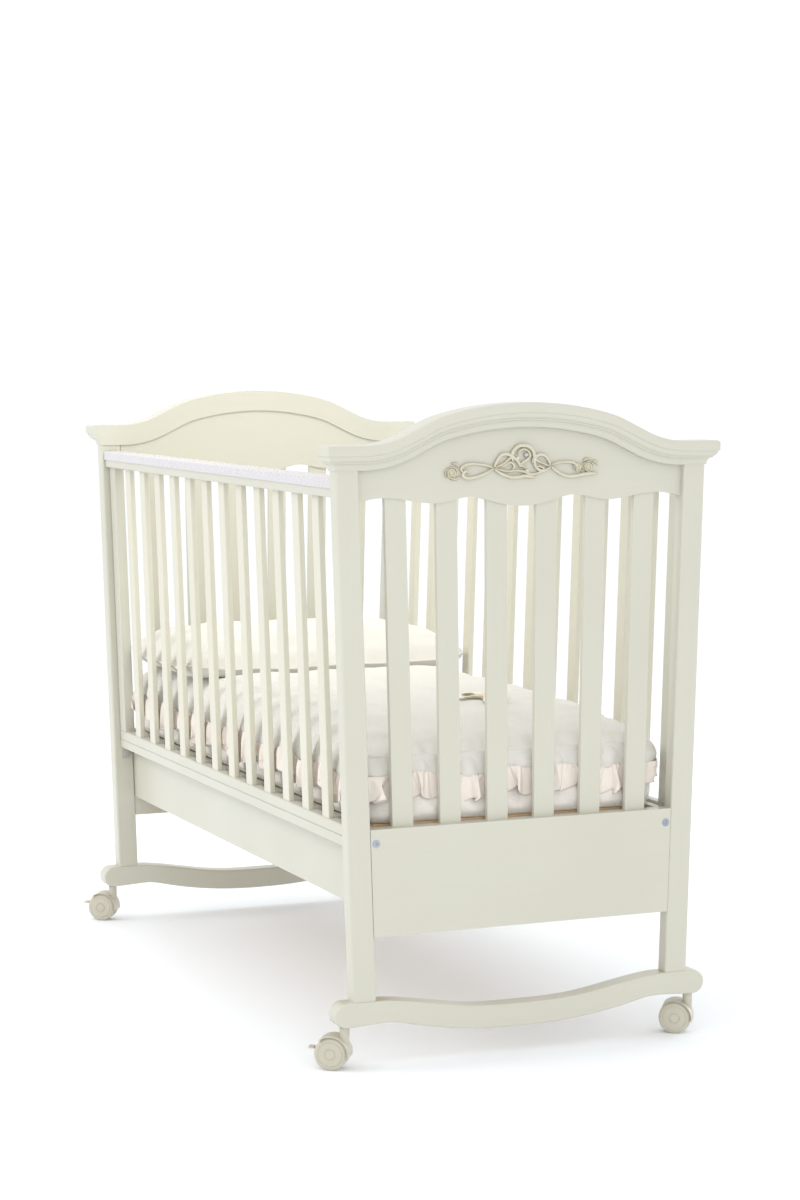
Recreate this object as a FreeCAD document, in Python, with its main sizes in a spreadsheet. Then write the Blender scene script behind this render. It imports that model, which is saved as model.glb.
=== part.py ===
import FreeCAD, Part
import math
import os
import re

import Sketcher
from FreeCAD import Placement, Rotation, Vector

# A baby crib on casters. Two leaning end frames, a drop side that slides down in front, a fixed
# side behind, a slatted base with mattress, quilt and pillow, and four twin-wheel casters.
# X runs from head (-) to foot (+), -Y is the side that drops, Z is up and the floor is z = 0.
# The origin is on the floor under the middle of the crib. All sizes are millimetres.

SIZES = {
    # end frames
    "post_span": 1305,        # outside faces of the posts, head to foot
    "post_deep": 28,
    "post_wide": 40,
    "foot_half": 302,         # outer face of a post where it stands on the rocker
    "spread": 0.0332,         # outward run of a post for each millimetre of height
    "seat": 110,              # top of the rocker under the posts
    "post_top": 962.5,
    "soft_edge": 4,
    "apron_under": 213.5,
    "apron_top": 388,
    "apron_inset": 1.5,
    "apron_thick": 24,
    "panel_inset": 11,
    "panel_thick": 16,
    "panel_ends": 910,        # lower edge of the top panel beside the posts
    "end_slat_wide": 37,
    "end_slat_inset": 14,
    "end_slat_thick": 10,
    "end_slat_pitch": 83.6,   # at the apron; the slats fan out with the posts
    "end_slat_count": 6,
    "tenon": 12,
    "mould_deep": 40,
    "mould_out": 18,          # overhang of the cap moulding past the posts
    "mould_back": 2,
    "arch_rise": 66,
    "arch_crown": 560,        # radii of the arch, from its middle outwards
    "arch_shoulder": 200,
    "arch_toe": 160,
    "arch_easy": 14.5,        # degrees turned by the crown
    "arch_steep": 26,         # steepest slope, degrees
    "ornament_height": 967,
    "ornament_thick": 7,
    "crystal_radius": 2,
    "crystal_tall": 1.5,
    "rocker_thick": 34,
    # sides, measured inwards from the posts' outer faces and upwards from the rocker
    "side_gap": 3,
    "side_inset": 14,
    "side_thick": 20,
    "low_rail": 243,
    "low_rail_tall": 36,
    "top_rail": 809,
    "top_rail_tall": 29.5,
    "top_rail_inset": 6.5,
    "top_rail_thick": 27.5,
    "stile_wide": 32,
    "bar_wide": 30,
    "bar_thick": 10,
    "bar_inset": 17,
    "bar_pitch": 93,
    "bar_count": 12,
    "cap_wall": 2.5,
    "cap_tall": 17,
    "drop_travel": 215,
    "peg_radius": 4.3,        # the pegs run in the posts, near the top of the drop side
    "peg_reach": 8.5,
    "peg_down": 24,
    "guide_thick": 2,         # the guides are fixed to the posts, and run in the drop side's ends
    "guide_half": 7,
    "guide_tall": 21,
    "block_half": 4.4,
    "block_reach": 8,
    "block_up": 8,
    "groove_wide": 9.6,
    "groove_deep": 7,
    "groove_spare": 3,
    "board_inset": 40,
    "board_thick": 18,
    "board_under": 140,
    "board_tall": 136,
    "bolt_head": 7,           # radii of the bolts and dowels, and their heights above the floor
    "bolt_deep": 3,
    "bolt_radius": 3,
    "bolt_hole": 3.1,
    "nut_radius": 5,
    "bolt_height": 365,
    "dowel_radius": 4,
    "dowel_height": 290,
    "dowel_deep": 14,
    "dowel_long": 30,
    # base and bedding
    "cleat_thick": 18,
    "cleat_tall": 22,
    "base_height": 356,       # top of the cleats
    "base_rail_wide": 34,
    "base_rail_tall": 20,
    "base_half": 247,
    "lath_wide": 60,
    "lath_thick": 12,
    "lath_pitch": 104,
    "lath_count": 12,
    "mattress_length": 1225,
    "mattress_width": 525,
    "mattress_tall": 110,
    "mattress_corner": 20,
    "quilt_thick": 38,
    "quilt_end": 12,          # thickness of the hanging edge, at the ends and at the sides
    "quilt_side": 14.5,
    "quilt_corner": 24,
    "quilt_hem": 412,         # height of its hem above the floor
    "pillow_length": 385,
    "pillow_width": 572,
    "pillow_tall": 74,
    # casters
    "caster_y": 312,
    "wheel_radius": 27,
    "wheel_wide": 14,
    "wheel_gap": 5,
    "trail": 20,
    "hood_radius": 29.5,
    "hood_space": 28,
    "axle_radius": 3,
    "stem_radius": 5,
    "running": 0.05,
    "hood_web": 24.5,         # radius of the hood's web
    "pin_radius": 1.5,
    "pin_out": 39,            # the brake lever's pin, from the stem and above the floor
    "pin_up": 34,
}

HERE = Placement()
END_PLACES = {"foot": HERE, "head": Placement(Vector(), Rotation(Vector(0, 0, 1), 180))}
CASTER_TURN = 34.7            # how far the casters have swung round, degrees
CORNERS = {"front_head": (-1, -1), "front_foot": (1, -1), "back_head": (-1, 1), "back_foot": (1, 1)}

doc = FreeCAD.newDocument("Crib")
sheet = doc.addObject("Spreadsheet::Sheet", "Sizes")
parts = []


def fill_sheet():
    for row, (alias, value) in enumerate(SIZES.items(), start=1):
        sheet.set(f"A{row}", alias)
        sheet.set(f"B{row}", str(value))
        sheet.setAlias(f"B{row}", alias)
    doc.recompute()


def full(expression):
    """Write the sheet's name before each alias of an expression."""
    return re.sub(r"[a-z]\w*", lambda m: f"Sizes.{m[0]}" if m[0] in SIZES else m[0], str(expression))


def val(expression):
    return float(sheet.evalExpression(full(expression)))


def keep(thing, label):
    thing.Label = label
    parts.append(thing)
    return thing


# ---- sketches and features ----

def new_body(label, place=HERE):
    body = doc.addObject("PartDesign::Body", label)
    body.AllowCompound = True
    body.Placement = place
    return body


def new_sketch(body, plane, offset="0"):
    """Sketch on one of the body's own planes, moved along the plane's normal."""
    sketch = body.newObject("Sketcher::SketchObject", "Sketch")
    role = next(f for f in body.Origin.OriginFeatures if f.Role == plane)
    sketch.AttachmentSupport = [(role, "")]
    sketch.MapMode = "FlatFace"
    sketch.setExpression("AttachmentOffset.Base.z", full(offset))
    return sketch


def pin_point(sketch, line, x, y):
    """Fix the start of a line at two expressions, measured from the sketch's origin."""
    for kind, axis, expression in (("DistanceX", -2, x), ("DistanceY", -1, y)):
        if val(expression) == 0:
            sketch.addConstraint(Sketcher.Constraint("PointOnObject", line, 1, axis))
            continue
        index = sketch.addConstraint(Sketcher.Constraint(kind, -1, 1, line, 1, val(expression)))
        sketch.setExpression(f"Constraints[{index}]", full(expression))


def polygon(sketch, corners):
    points = [Vector(val(x), val(y), 0) for x, y in corners]
    first = sketch.GeometryCount
    for start, end in zip(points, points[1:] + points[:1]):
        sketch.addGeometry(Part.LineSegment(start, end), False)
    for i, (x, y) in enumerate(corners):
        after = first + (i + 1) % len(corners)
        sketch.addConstraint(Sketcher.Constraint("Coincident", first + i, 2, after, 1))
        pin_point(sketch, first + i, x, y)


def rectangle(sketch, x0, y0, x1, y1):
    polygon(sketch, [(x0, y0), (x1, y0), (x1, y1), (x0, y1)])


def circle(sketch, x, y, radius):
    index = sketch.addGeometry(Part.Circle(Vector(val(x), val(y), 0), Vector(0, 0, 1), val(radius)), False)
    for kind, axis, expression in (("DistanceX", -2, x), ("DistanceY", -1, y)):
        if val(expression) == 0:
            sketch.addConstraint(Sketcher.Constraint("PointOnObject", index, 3, axis))
            continue
        c = sketch.addConstraint(Sketcher.Constraint(kind, -1, 1, index, 3, val(expression)))
        sketch.setExpression(f"Constraints[{c}]", full(expression))
    c = sketch.addConstraint(Sketcher.Constraint("Radius", index, val(radius)))
    sketch.setExpression(f"Constraints[{c}]", full(radius))


def trace(sketch, curves):
    """Add curves that already meet end to end."""
    for curve in curves:
        sketch.addGeometry(curve, False)


def line(a, b):
    return Part.LineSegment(Vector(*a, 0), Vector(*b, 0))


def arc(a, middle, b):
    return Part.Arc(Vector(*a, 0), Vector(*middle, 0), Vector(*b, 0))


def smooth(points):
    curve = Part.BSplineCurve()
    curve.interpolate([Vector(*p, 0) for p in points])
    return curve


def mirrored(points):
    """A half outline, given from the middle outwards, as a whole one from left to right."""
    left = [(-x, y) for x, y in reversed(points) if x > 0]
    return left + list(points)


def pad(body, sketch, length):
    feature = body.newObject("PartDesign::Pad", "Pad")
    feature.Profile = sketch
    feature.setExpression("Length", full(length))
    doc.recompute()
    return feature


def pocket(body, sketch, length, reverse=False):
    """Cut a sketch into the body, and make sure that something was cut."""
    before = body.Shape.Volume
    feature = body.newObject("PartDesign::Pocket", "Pocket")
    feature.Profile = sketch
    feature.Reversed = reverse
    feature.setExpression("Length", full(length))
    doc.recompute()
    assert body.Shape.Volume < before - 1, f"{body.Label}: a pocket cut nothing"
    return feature


def soften(body, radius, chosen):
    """Round the edges of the body's last feature for which chosen(edge) is true."""
    base = body.Tip
    names = [f"Edge{i}" for i, edge in enumerate(base.Shape.Edges, start=1) if chosen(edge)]
    feature = body.newObject("PartDesign::Fillet", "Fillet")
    feature.Base = (base, names)
    feature.setExpression("Radius", full(radius))
    doc.recompute()
    return feature


def runs(edge, axis):
    """True if a straight edge runs within a few degrees of a direction."""
    if edge.Curve.TypeId != "Part::GeomLine":
        return False
    return abs(edge.tangentAt(edge.FirstParameter).dot(axis)) > 0.99


def prism(label, plane, corners, offset, length, place=HERE):
    body = new_body(label, place)
    sketch = new_sketch(body, plane, offset)
    polygon(sketch, corners)
    pad(body, sketch, length)
    return body


def block(label, low, high, place=HERE):
    """A box between two corners, given as expressions in the body's own axes."""
    x0, y0, z0 = low
    x1, y1, z1 = high
    corners = [(x0, y0), (x1, y0), (x1, y1), (x0, y1)]
    return prism(label, "XY_Plane", corners, z0, f"({z1}) - ({z0})", place)


def cut(label, base, tool):
    feature = doc.addObject("Part::Cut", label)
    feature.Base = base
    feature.Tool = tool
    doc.recompute()
    return feature


def grouped(label, members):
    feature = doc.addObject("Part::Compound", label)
    feature.Links = members
    doc.recompute()
    return feature


# ---- places that several pieces share, as expressions ----

def post_outer(height):
    """Half the width over the posts at a height."""
    return f"(foot_half + spread * ({height} - seat))"


OUTER_X = "post_span / 2"
HALF_INSIDE = f"({OUTER_X} - post_deep)"
ROCKER_X = f"({OUTER_X} - post_deep / 2)"
BOARD_MIDDLE = f"({post_outer('bolt_height')} - board_inset - board_thick / 2)"
DOWEL_MIDDLE = f"({post_outer('dowel_height')} - board_inset - board_thick / 2)"
SIDE_MIDDLE = "(side_inset + side_thick / 2)"
PEG_HEIGHT = "(top_rail - peg_down)"
# The sides: x along the crib, y inwards from the posts' outer faces, z up from the rocker.
LEAN = math.degrees(math.atan(SIZES["spread"]))
FRONT = Placement(Vector(0, -SIZES["foot_half"], SIZES["seat"]), Rotation(Vector(1, 0, 0), LEAN))
BACK = Placement(Vector(), Rotation(Vector(0, 0, 1), 180)).multiply(FRONT)


# ---- end frames ----

def post(label, end, across, grooved, dowels):
    """A leaning post, cut level at both ends. A grooved one guides the drop side, and the
    other is bored for the fixed side's dowels."""
    corners = [
        (f"{across} * {post_outer('seat')}", "seat"),
        (f"{across} * ({post_outer('seat')} - post_wide)", "seat"),
        (f"{across} * ({post_outer('post_top')} - post_wide)", "post_top"),
        (f"{across} * {post_outer('post_top')}", "post_top"),
    ]
    name = label if grooved else label + "_blank"
    body = prism(name, "YZ_Plane", corners, f"{OUTER_X} - post_deep", "post_deep", END_PLACES[end])
    up = Vector(0, across * val("spread"), 1).normalize()
    soften(body, "soft_edge", lambda edge: runs(edge, up))
    if grooved:
        low = f"seat + {PEG_HEIGHT} - drop_travel - groove_wide / 2 - groove_spare"
        high = f"seat + {PEG_HEIGHT} + groove_wide / 2 + groove_spare"
        near = f"({SIDE_MIDDLE} - groove_wide / 2)"
        sketch = new_sketch(body, "YZ_Plane", f"{OUTER_X} - post_deep")
        polygon(sketch, [
            (f"{across} * ({post_outer(low)} - {near})", low),
            (f"{across} * ({post_outer(low)} - {near} - groove_wide)", low),
            (f"{across} * ({post_outer(high)} - {near} - groove_wide)", high),
            (f"{across} * ({post_outer(high)} - {near})", high),
        ])
        pocket(body, sketch, "groove_deep", reverse=True)
        return keep(body, label)
    return keep(cut(label, body, dowels), label)


def arch(below):
    """Curves of the arched top line, a distance below it, from -Y to +Y, in (y, z)."""
    crown, shoulder, toe = val("arch_crown"), val("arch_shoulder"), val("arch_toe")
    easy, steep = math.radians(val("arch_easy")), math.radians(val("arch_steep"))
    turned = (crown * (1 - math.cos(easy)) + shoulder * (math.cos(easy) - math.cos(steep))
              + toe * (1 - math.cos(steep)))
    slope = (val("arch_rise") - turned) / math.sin(steep)
    half = val(post_outer("post_top")) + val("mould_out")
    height = val("post_top + mould_deep + arch_rise") - below

    def bend(point, heading, radius, angle):
        """An arc that starts at a point; a positive angle turns it downwards."""
        sign = math.copysign(1, angle)
        centre = (point[0] + sign * radius * math.sin(heading),
                  point[1] - sign * radius * math.cos(heading))

        def at(turn):
            new = heading - turn
            return (centre[0] - sign * radius * math.sin(new),
                    centre[1] + sign * radius * math.cos(new))
        return at(angle / 2), at(angle), heading - angle

    right = []
    point, heading = (0, height), 0
    for radius, angle in ((crown - below, easy), (shoulder - below, steep - easy), (None, slope),
                          (toe + below, -steep)):
        if radius is None:
            after = (point[0] + angle * math.cos(heading), point[1] + angle * math.sin(heading))
            right.append((point, None, after))
        else:
            middle, after, heading = bend(point, heading, radius, angle)
            right.append((point, middle, after))
        point = after
    right.append((point, None, (half, point[1])))
    left = [[p and (-p[0], p[1]) for p in (b, m, a)] for a, m, b in reversed(right)]
    return [line(a, b) if m is None else arc(a, m, b) for a, m, b in left + right]


def mould_profile(face, top, deep):
    """The cap moulding's face: a rounded nose, an ogee step and a cove, from top to bottom."""
    out = val("mould_out")

    def at(reach, down):
        return (face + reach * out, top - down * deep)
    return [
        arc(at(0.72, 0), at(0.92, 0.035), at(1, 0.12)),
        line(at(1, 0.12), at(1, 0.33)),
        arc(at(1, 0.33), at(0.97, 0.40), at(0.86, 0.43)),
        arc(at(0.86, 0.43), at(0.74, 0.58), at(0.5, 0.66)),
        line(at(0.5, 0.66), at(0.5, 0.71)),
        line(at(0.5, 0.71), at(0.4, 0.71)),
        arc(at(0.4, 0.71), at(0.17, 0.8), at(0.06, 0.95)),
        line(at(0.06, 0.95), at(0.06, 1)),
    ]


def moulding(label, end):
    """The arched cap: its face profile follows the arch and returns square round both ends."""
    body = new_body(label, END_PLACES[end])
    half = f"{post_outer('post_top')} + mould_out"
    face, top, deep = val(OUTER_X), val("post_top + mould_deep"), val("mould_deep")
    back = face - val("post_deep + mould_back")
    profile = new_sketch(body, "XZ_Plane", half)
    front = mould_profile(face, top, deep)
    ends = (front[0].StartPoint, front[-1].EndPoint)
    trace(profile, [
        *front,
        line((ends[1].x, top - deep), (back, top - deep)),
        line((back, top - deep), (back, top)),
        line((back, top), (face + 0.72 * val("mould_out"), top)),
    ])
    spine = new_sketch(body, "YZ_Plane", OUTER_X)
    trace(spine, arch(0))
    pipe = body.newObject("PartDesign::AdditivePipe", "Pipe")
    pipe.Profile = profile
    pipe.Spine = (spine, [f"Edge{i + 1}" for i in range(spine.GeometryCount)])
    doc.recompute()
    beyond = val(half) + 5
    for across in (-1, 1):
        sketch = new_sketch(body, "YZ_Plane", f"{OUTER_X} - 2 * post_deep")
        returns = mould_profile(val(post_outer("post_top")), top, deep)
        curves = []
        for curve in returns:
            halfway = curve.value((curve.FirstParameter + curve.LastParameter) / 2)
            a, m, b = [(across * p.x, p.y) for p in (curve.StartPoint, halfway, curve.EndPoint)]
            curves.append(line(a, b) if isinstance(curve, Part.LineSegment) else arc(a, m, b))
        corner_top = (across * returns[0].StartPoint.x, top)
        corner_low = (across * returns[-1].EndPoint.x, top - deep)
        curves += [
            line(corner_low, (corner_low[0], top - deep - 5)),
            line((corner_low[0], top - deep - 5), (across * beyond, top - deep - 5)),
            line((across * beyond, top - deep - 5), (across * beyond, top + 5)),
            line((across * beyond, top + 5), (corner_top[0], top + 5)),
            line((corner_top[0], top + 5), corner_top),
        ]
        trace(sketch, curves)
        pocket(body, sketch, "4 * post_deep", reverse=True)
    return keep(body, label)


def end_slats(label, end, low, high):
    """Slats that fan out with the posts, in one sketch; low and high are heights."""
    body = new_body(label, END_PLACES[end])
    sketch = new_sketch(body, "YZ_Plane", f"{OUTER_X} - end_slat_inset - end_slat_thick")
    grown = f"({post_outer(high)} - post_wide) / ({post_outer(low)} - post_wide)"
    for i in range(int(SIZES["end_slat_count"])):
        foot = f"({i} - (end_slat_count - 1) / 2) * end_slat_pitch"
        head = f"{foot} * {grown}"
        polygon(sketch, [
            (f"{foot} - end_slat_wide / 2", low),
            (f"{foot} + end_slat_wide / 2", low),
            (f"{head} + end_slat_wide / 2", high),
            (f"{head} - end_slat_wide / 2", high),
        ])
    pad(body, sketch, "end_slat_thick")
    soften(body, "1.5", lambda edge: edge.Length > 300)
    return body


def top_panel(label, end, slats, cap):
    """Panel between the posts: scalloped below, and fitted to the moulding above."""
    body = new_body(label + "_blank", END_PLACES[end])
    sketch = new_sketch(body, "YZ_Plane", f"{OUTER_X} - panel_inset - panel_thick")
    low = val("panel_ends")
    mid_arch = arch(val("mould_deep") / 2)[1:-1]
    inner_low = val(f"{post_outer('panel_ends')} - post_wide")
    inner_top = val(f"{post_outer('post_top')} - post_wide")
    high = val("post_top + mould_deep / 2")
    scallop = mirrored([(0, low - 9.5), (50, low - 2.5), (94, low + 7), (130, low + 0.5),
                        (157, low - 2.5), (190, low + 1.5), (235, low + 7.5), (inner_low, low)])
    top = mid_arch
    first, last = top[0].StartPoint, top[-1].EndPoint
    left = min((first.x, first.y), (top[0].EndPoint.x, top[0].EndPoint.y))
    right = max((last.x, last.y), (top[-1].StartPoint.x, top[-1].StartPoint.y))
    trace(sketch, [
        smooth(scallop),
        line((inner_low, low), (inner_top, val("post_top"))),
        line((inner_top, val("post_top")), (right[0], high)),
        *top,
        line((left[0], high), (-inner_top, val("post_top"))),
        line((-inner_top, val("post_top")), (-inner_low, low)),
    ])
    pad(body, sketch, "panel_thick")
    mortised = cut(label + "_mortised", body, slats)
    return keep(cut(label, mortised, cap), label)


def apron(label, end, slats):
    """Low board between the posts, bored for the side boards' bolts."""
    low, high = "apron_under", "apron_top"
    corners = [
        (f"-({post_outer(low)} - post_wide)", low),
        (f"{post_outer(low)} - post_wide", low),
        (f"{post_outer(high)} - post_wide", high),
        (f"-({post_outer(high)} - post_wide)", high),
    ]
    offset = f"{OUTER_X} - apron_inset - apron_thick"
    body = prism(label + "_blank", "YZ_Plane", corners, offset, "apron_thick", END_PLACES[end])
    holes = (("bolt_head", "apron_thick - bolt_deep", "bolt_deep"), ("bolt_hole", "0", "apron_thick"))
    for radius, start, length in holes:
        sketch = new_sketch(body, "YZ_Plane", f"{offset} + {start}")
        for across in (-1, 1):
            circle(sketch, f"{across} * {BOARD_MIDDLE}", "bolt_height", radius)
        pocket(body, sketch, length, reverse=True)
    sketch = new_sketch(body, "YZ_Plane", offset)
    for across in (-1, 1):
        circle(sketch, f"{across} * {DOWEL_MIDDLE}", "dowel_height", "dowel_radius")
    pocket(body, sketch, "dowel_deep", reverse=True)
    return keep(cut(label, body, slats), label)


def rocker(label, end):
    """Board under a pair of posts: level under them, sagging between, round at the tips."""
    body = new_body(label, END_PLACES[end])
    sketch = new_sketch(body, "YZ_Plane", f"{ROCKER_X} - rocker_thick / 2")
    seat = val("seat")
    tip = val("caster_y") + 2
    under = mirrored([(0, seat - 64.5), (80, seat - 62), (151, seat - 53.5), (200, seat - 44),
                      (232, seat - 37.5), (265, seat - 37.5), (tip, seat - 40)])
    over = mirrored([(0, seat - 25.5), (97, seat - 22), (150, seat - 14), (200, seat - 5.5), (244, seat)])
    trace(sketch, [
        smooth(under),
        arc((tip, seat - 40), (tip + 20, seat - 20), (tip, seat)),
        line((tip, seat), over[-1]),
        smooth(over),
        line(over[0], (-tip, seat)),
        arc((-tip, seat), (-tip - 20, seat - 20), (-tip, seat - 40)),
    ])
    pad(body, sketch, "rocker_thick")
    soften(body, "3", lambda edge: not runs(edge, Vector(1, 0, 0)))
    sockets = new_sketch(body, "XY_Plane")
    for across in (-1, 1):
        circle(sockets, ROCKER_X, f"{across} * caster_y", "stem_radius + running")
    pocket(body, sockets, "seat - 9", reverse=True)
    return keep(body, label)


def ornament(end):
    """Carved applique on the footboard: a knot in the middle and two tapering scrolls."""
    body = new_body("ornament", END_PLACES[end])
    sketch = new_sketch(body, "YZ_Plane", f"{OUTER_X} - panel_inset")
    middle = val("ornament_height")
    upper = [(138, 5), (100, 7), (72, 9), (40, 16), (16, 28)]
    lower = [(138, -7), (100, -10), (72, -8), (40, -18), (16, -25)]
    outline = [(-y, z) for y, z in upper] + upper[::-1] + lower + [(-y, z) for y, z in reversed(lower)]
    curve = Part.BSplineCurve()
    curve.interpolate([Vector(y, middle + z, 0) for y, z in outline], PeriodicFlag=True)
    trace(sketch, [curve])
    pad(body, sketch, "ornament_thick")
    keep(body, "ornament")
    stones = new_body("ornament_crystals", END_PLACES[end])
    beads = new_sketch(stones, "YZ_Plane", f"{OUTER_X} - panel_inset + ornament_thick")
    for y, z in ((4, 16), (5, -10), (-12, 11), (18, 9)):
        circle(beads, y, f"ornament_height + {z}", "crystal_radius")
    pad(stones, beads, "crystal_tall")
    keep(stones, "ornament_crystals")


def end_frame(end, dowels):
    flip = -1 if end == "head" else 1
    post(f"{end}_post_front", end, -flip, True, dowels)
    post(f"{end}_post_back", end, flip, False, dowels)
    slats = end_slats(f"{end}_slats_blank", end, "apron_top - tenon", "panel_ends + tenon + 4")
    cap = moulding(f"{end}_moulding", end)
    top_panel(f"{end}_top_panel", end, slats, cap)
    apron(f"{end}_apron", end, slats)
    keep(slats, f"{end}_slats")
    rocker(f"{end}_rocker", end)


# ---- sides ----

def rail(label, low, tall, inset, thick, place, gap):
    half = f"({HALF_INSIDE} - {gap})"
    body = block(label, (f"-{half}", inset, low), (half, f"{inset} + {thick}", f"{low} + {tall}"), place)
    soften(body, "3", lambda edge: runs(edge, Vector(1, 0, 0)))
    return body


def side_bars(label, place):
    """The row of upright bars, each let into both rails."""
    body = new_body(label, place)
    sketch = new_sketch(body, "XY_Plane", "low_rail + low_rail_tall - tenon")
    first = "(bar_count - 1) / 2 * bar_pitch"
    rectangle(sketch, f"-{first} - bar_wide / 2", "bar_inset", f"-{first} + bar_wide / 2",
              "bar_inset + bar_thick")
    bar = pad(body, sketch, "top_rail - low_rail - low_rail_tall + 2 * tenon")
    rounded = soften(body, "1.5", lambda edge: runs(edge, Vector(0, 0, 1)))
    pattern = body.newObject("PartDesign::LinearPattern", "Row")
    pattern.Originals = [bar, rounded]
    pattern.Direction = (sketch, ["H_Axis"])
    pattern.setExpression("Length", full("(bar_count - 1) * bar_pitch"))
    pattern.setExpression("Occurrences", full("bar_count"))
    body.Tip = pattern
    doc.recompute()
    return body


def slatted_side(name, place, gap, rail_tool, stile_tool):
    """Two rails, two stiles and the bars between them. Each tool is what is cut from the ends."""
    low = rail(f"{name}_bottom_blank", "low_rail", "low_rail_tall", "side_inset", "side_thick",
               place, gap)
    line_cut = new_sketch(low, "XZ_Plane", "-side_inset")
    rectangle(line_cut, f"-{HALF_INSIDE}", "low_rail + low_rail_tall / 2 - 1", HALF_INSIDE,
              "low_rail + low_rail_tall / 2 + 1")
    pocket(low, line_cut, "1.2")
    top = rail(f"{name}_top_blank", "top_rail", "top_rail_tall", "top_rail_inset", "top_rail_thick",
               place, gap)
    bars = side_bars(f"{name}_bars", place)
    for label, blank in ((f"{name}_bottom_rail", low), (f"{name}_top_rail", top)):
        keep(cut(label, cut(label + "_bored", blank, rail_tool), bars), label)
    keep(bars, f"{name}_bars")
    for end, along in (("head", -1), ("foot", 1)):
        outer = f"{along} * ({HALF_INSIDE} - {gap})"
        inner = f"{along} * ({HALF_INSIDE} - {gap} - stile_wide)"
        x0, x1 = sorted((outer, inner), key=val)
        label = f"{name}_stile_{end}"
        stile = block(label + "_blank", (x0, "side_inset", "low_rail + low_rail_tall"),
                      (x1, "side_inset + side_thick", "top_rail"), place)
        soften(stile, "2", lambda edge: runs(edge, Vector(0, 0, 1)))
        keep(cut(label, stile, stile_tool) if stile_tool else stile, label)


def teething_cap():
    """White plastic channel clipped over the drop side's top rail."""
    half = f"({HALF_INSIDE} - side_gap)"
    top = "(top_rail + top_rail_tall)"
    inner = "top_rail_inset + top_rail_thick"
    low_corner = (f"-{half}", "top_rail_inset - cap_wall", f"{top} + cap_wall - cap_tall")
    high_corner = (half, f"{inner} + cap_wall", f"{top} + cap_wall")
    body = block("teething_cap_blank", low_corner, high_corner, FRONT)
    soften(body, "3", lambda edge: runs(edge, Vector(1, 0, 0)) and edge.CenterOfMass.z > val(top))
    top_rail = doc.getObjectsByLabel("drop_side_top_blank")[0]
    return keep(cut("teething_cap", body, top_rail), "teething_cap")


def guide_pegs():
    """Nylon pegs near the top of the drop side's ends, which run in the posts' grooves."""
    body = new_body("guide_pegs", FRONT)
    for along in (-1, 1):
        near = f"{along} * ({HALF_INSIDE} - side_gap)"
        far = f"{along} * ({HALF_INSIDE} - side_gap + peg_reach)"
        sketch = new_sketch(body, "YZ_Plane", min(near, far, key=val))
        circle(sketch, SIDE_MIDDLE, PEG_HEIGHT, "peg_radius")
        pad(body, sketch, "peg_reach")
    return keep(body, "guide_pegs")


def guide_blocks():
    """Grey guides on the posts, under the raised bottom rail: a plate with a block on it."""
    body = new_body("guide_blocks", FRONT)
    plate = ("guide_half", "guide_thick", "low_rail - 1 - guide_tall", "low_rail - 1")
    tongue = ("block_half", "block_reach", "low_rail - guide_tall + 1", "low_rail + block_up")
    for half, reach, low, high in (plate, tongue):
        for along in (-1, 1):
            start = f"{HALF_INSIDE} - {reach}" if along > 0 else f"-{HALF_INSIDE}"
            sketch = new_sketch(body, "YZ_Plane", start)
            rectangle(sketch, f"{SIDE_MIDDLE} - {half}", low, f"{SIDE_MIDDLE} + {half}", high)
            pad(body, sketch, reach)
    return keep(body, "guide_blocks")


def end_grooves():
    """What is cut from the drop side's ends, so that it can slide down over the guides."""
    near = f"({HALF_INSIDE} - side_gap - groove_deep)"
    high = "low_rail + block_up + drop_travel + groove_spare"
    members = []
    for end, along in (("head", -1), ("foot", 1)):
        x0, x1 = sorted((f"{along} * {near}", f"{along} * {HALF_INSIDE}"), key=val)
        members.append(block(f"end_groove_{end}", (x0, f"{SIDE_MIDDLE} - groove_wide / 2", "low_rail - 1"),
                             (x1, f"{SIDE_MIDDLE} + groove_wide / 2", high), FRONT))
    return grouped("end_grooves", members)


def side_board(label, place):
    """Fixed low board between the aprons."""
    half = f"({OUTER_X} - apron_inset - apron_thick)"
    body = block(label + "_blank", (f"-{half}", "board_inset", "board_under"),
                 (half, "board_inset + board_thick", "board_under + board_tall"), place)
    soften(body, "2", lambda edge: runs(edge, Vector(1, 0, 0)))
    return body


def between(start, end, radius):
    """A round bar between two points."""
    run = end - start
    return Part.makeCylinder(radius, run.Length, start, run)


def bolt(along, y, face, inner, height):
    """A bolt with a hexagon socket, through an apron, and its barrel nut in the side board."""
    deep, radius = val("bolt_deep"), val("bolt_radius")
    under_head = Vector(along * (face - deep), y, height)
    head = between(under_head, Vector(along * face, y, height), val("bolt_head"))
    ring = [Vector(along * face, y + 2.6 * math.cos(a), height + 2.6 * math.sin(a))
            for a in (math.pi / 3 * i for i in range(7))]
    key = Part.Face(Part.makePolygon(ring)).extrude(Vector(-2 * along, 0, 0))
    shank = between(under_head, Vector(along * (inner - 38), y, height), radius)
    spot = Vector(along * (inner - 32), y, height)
    nut = between(spot - Vector(0, 7, 0), spot + Vector(0, 7, 0), val("nut_radius"))
    return head.cut(key).fuse(shank).removeSplitter(), nut.cut(shank)


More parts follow.
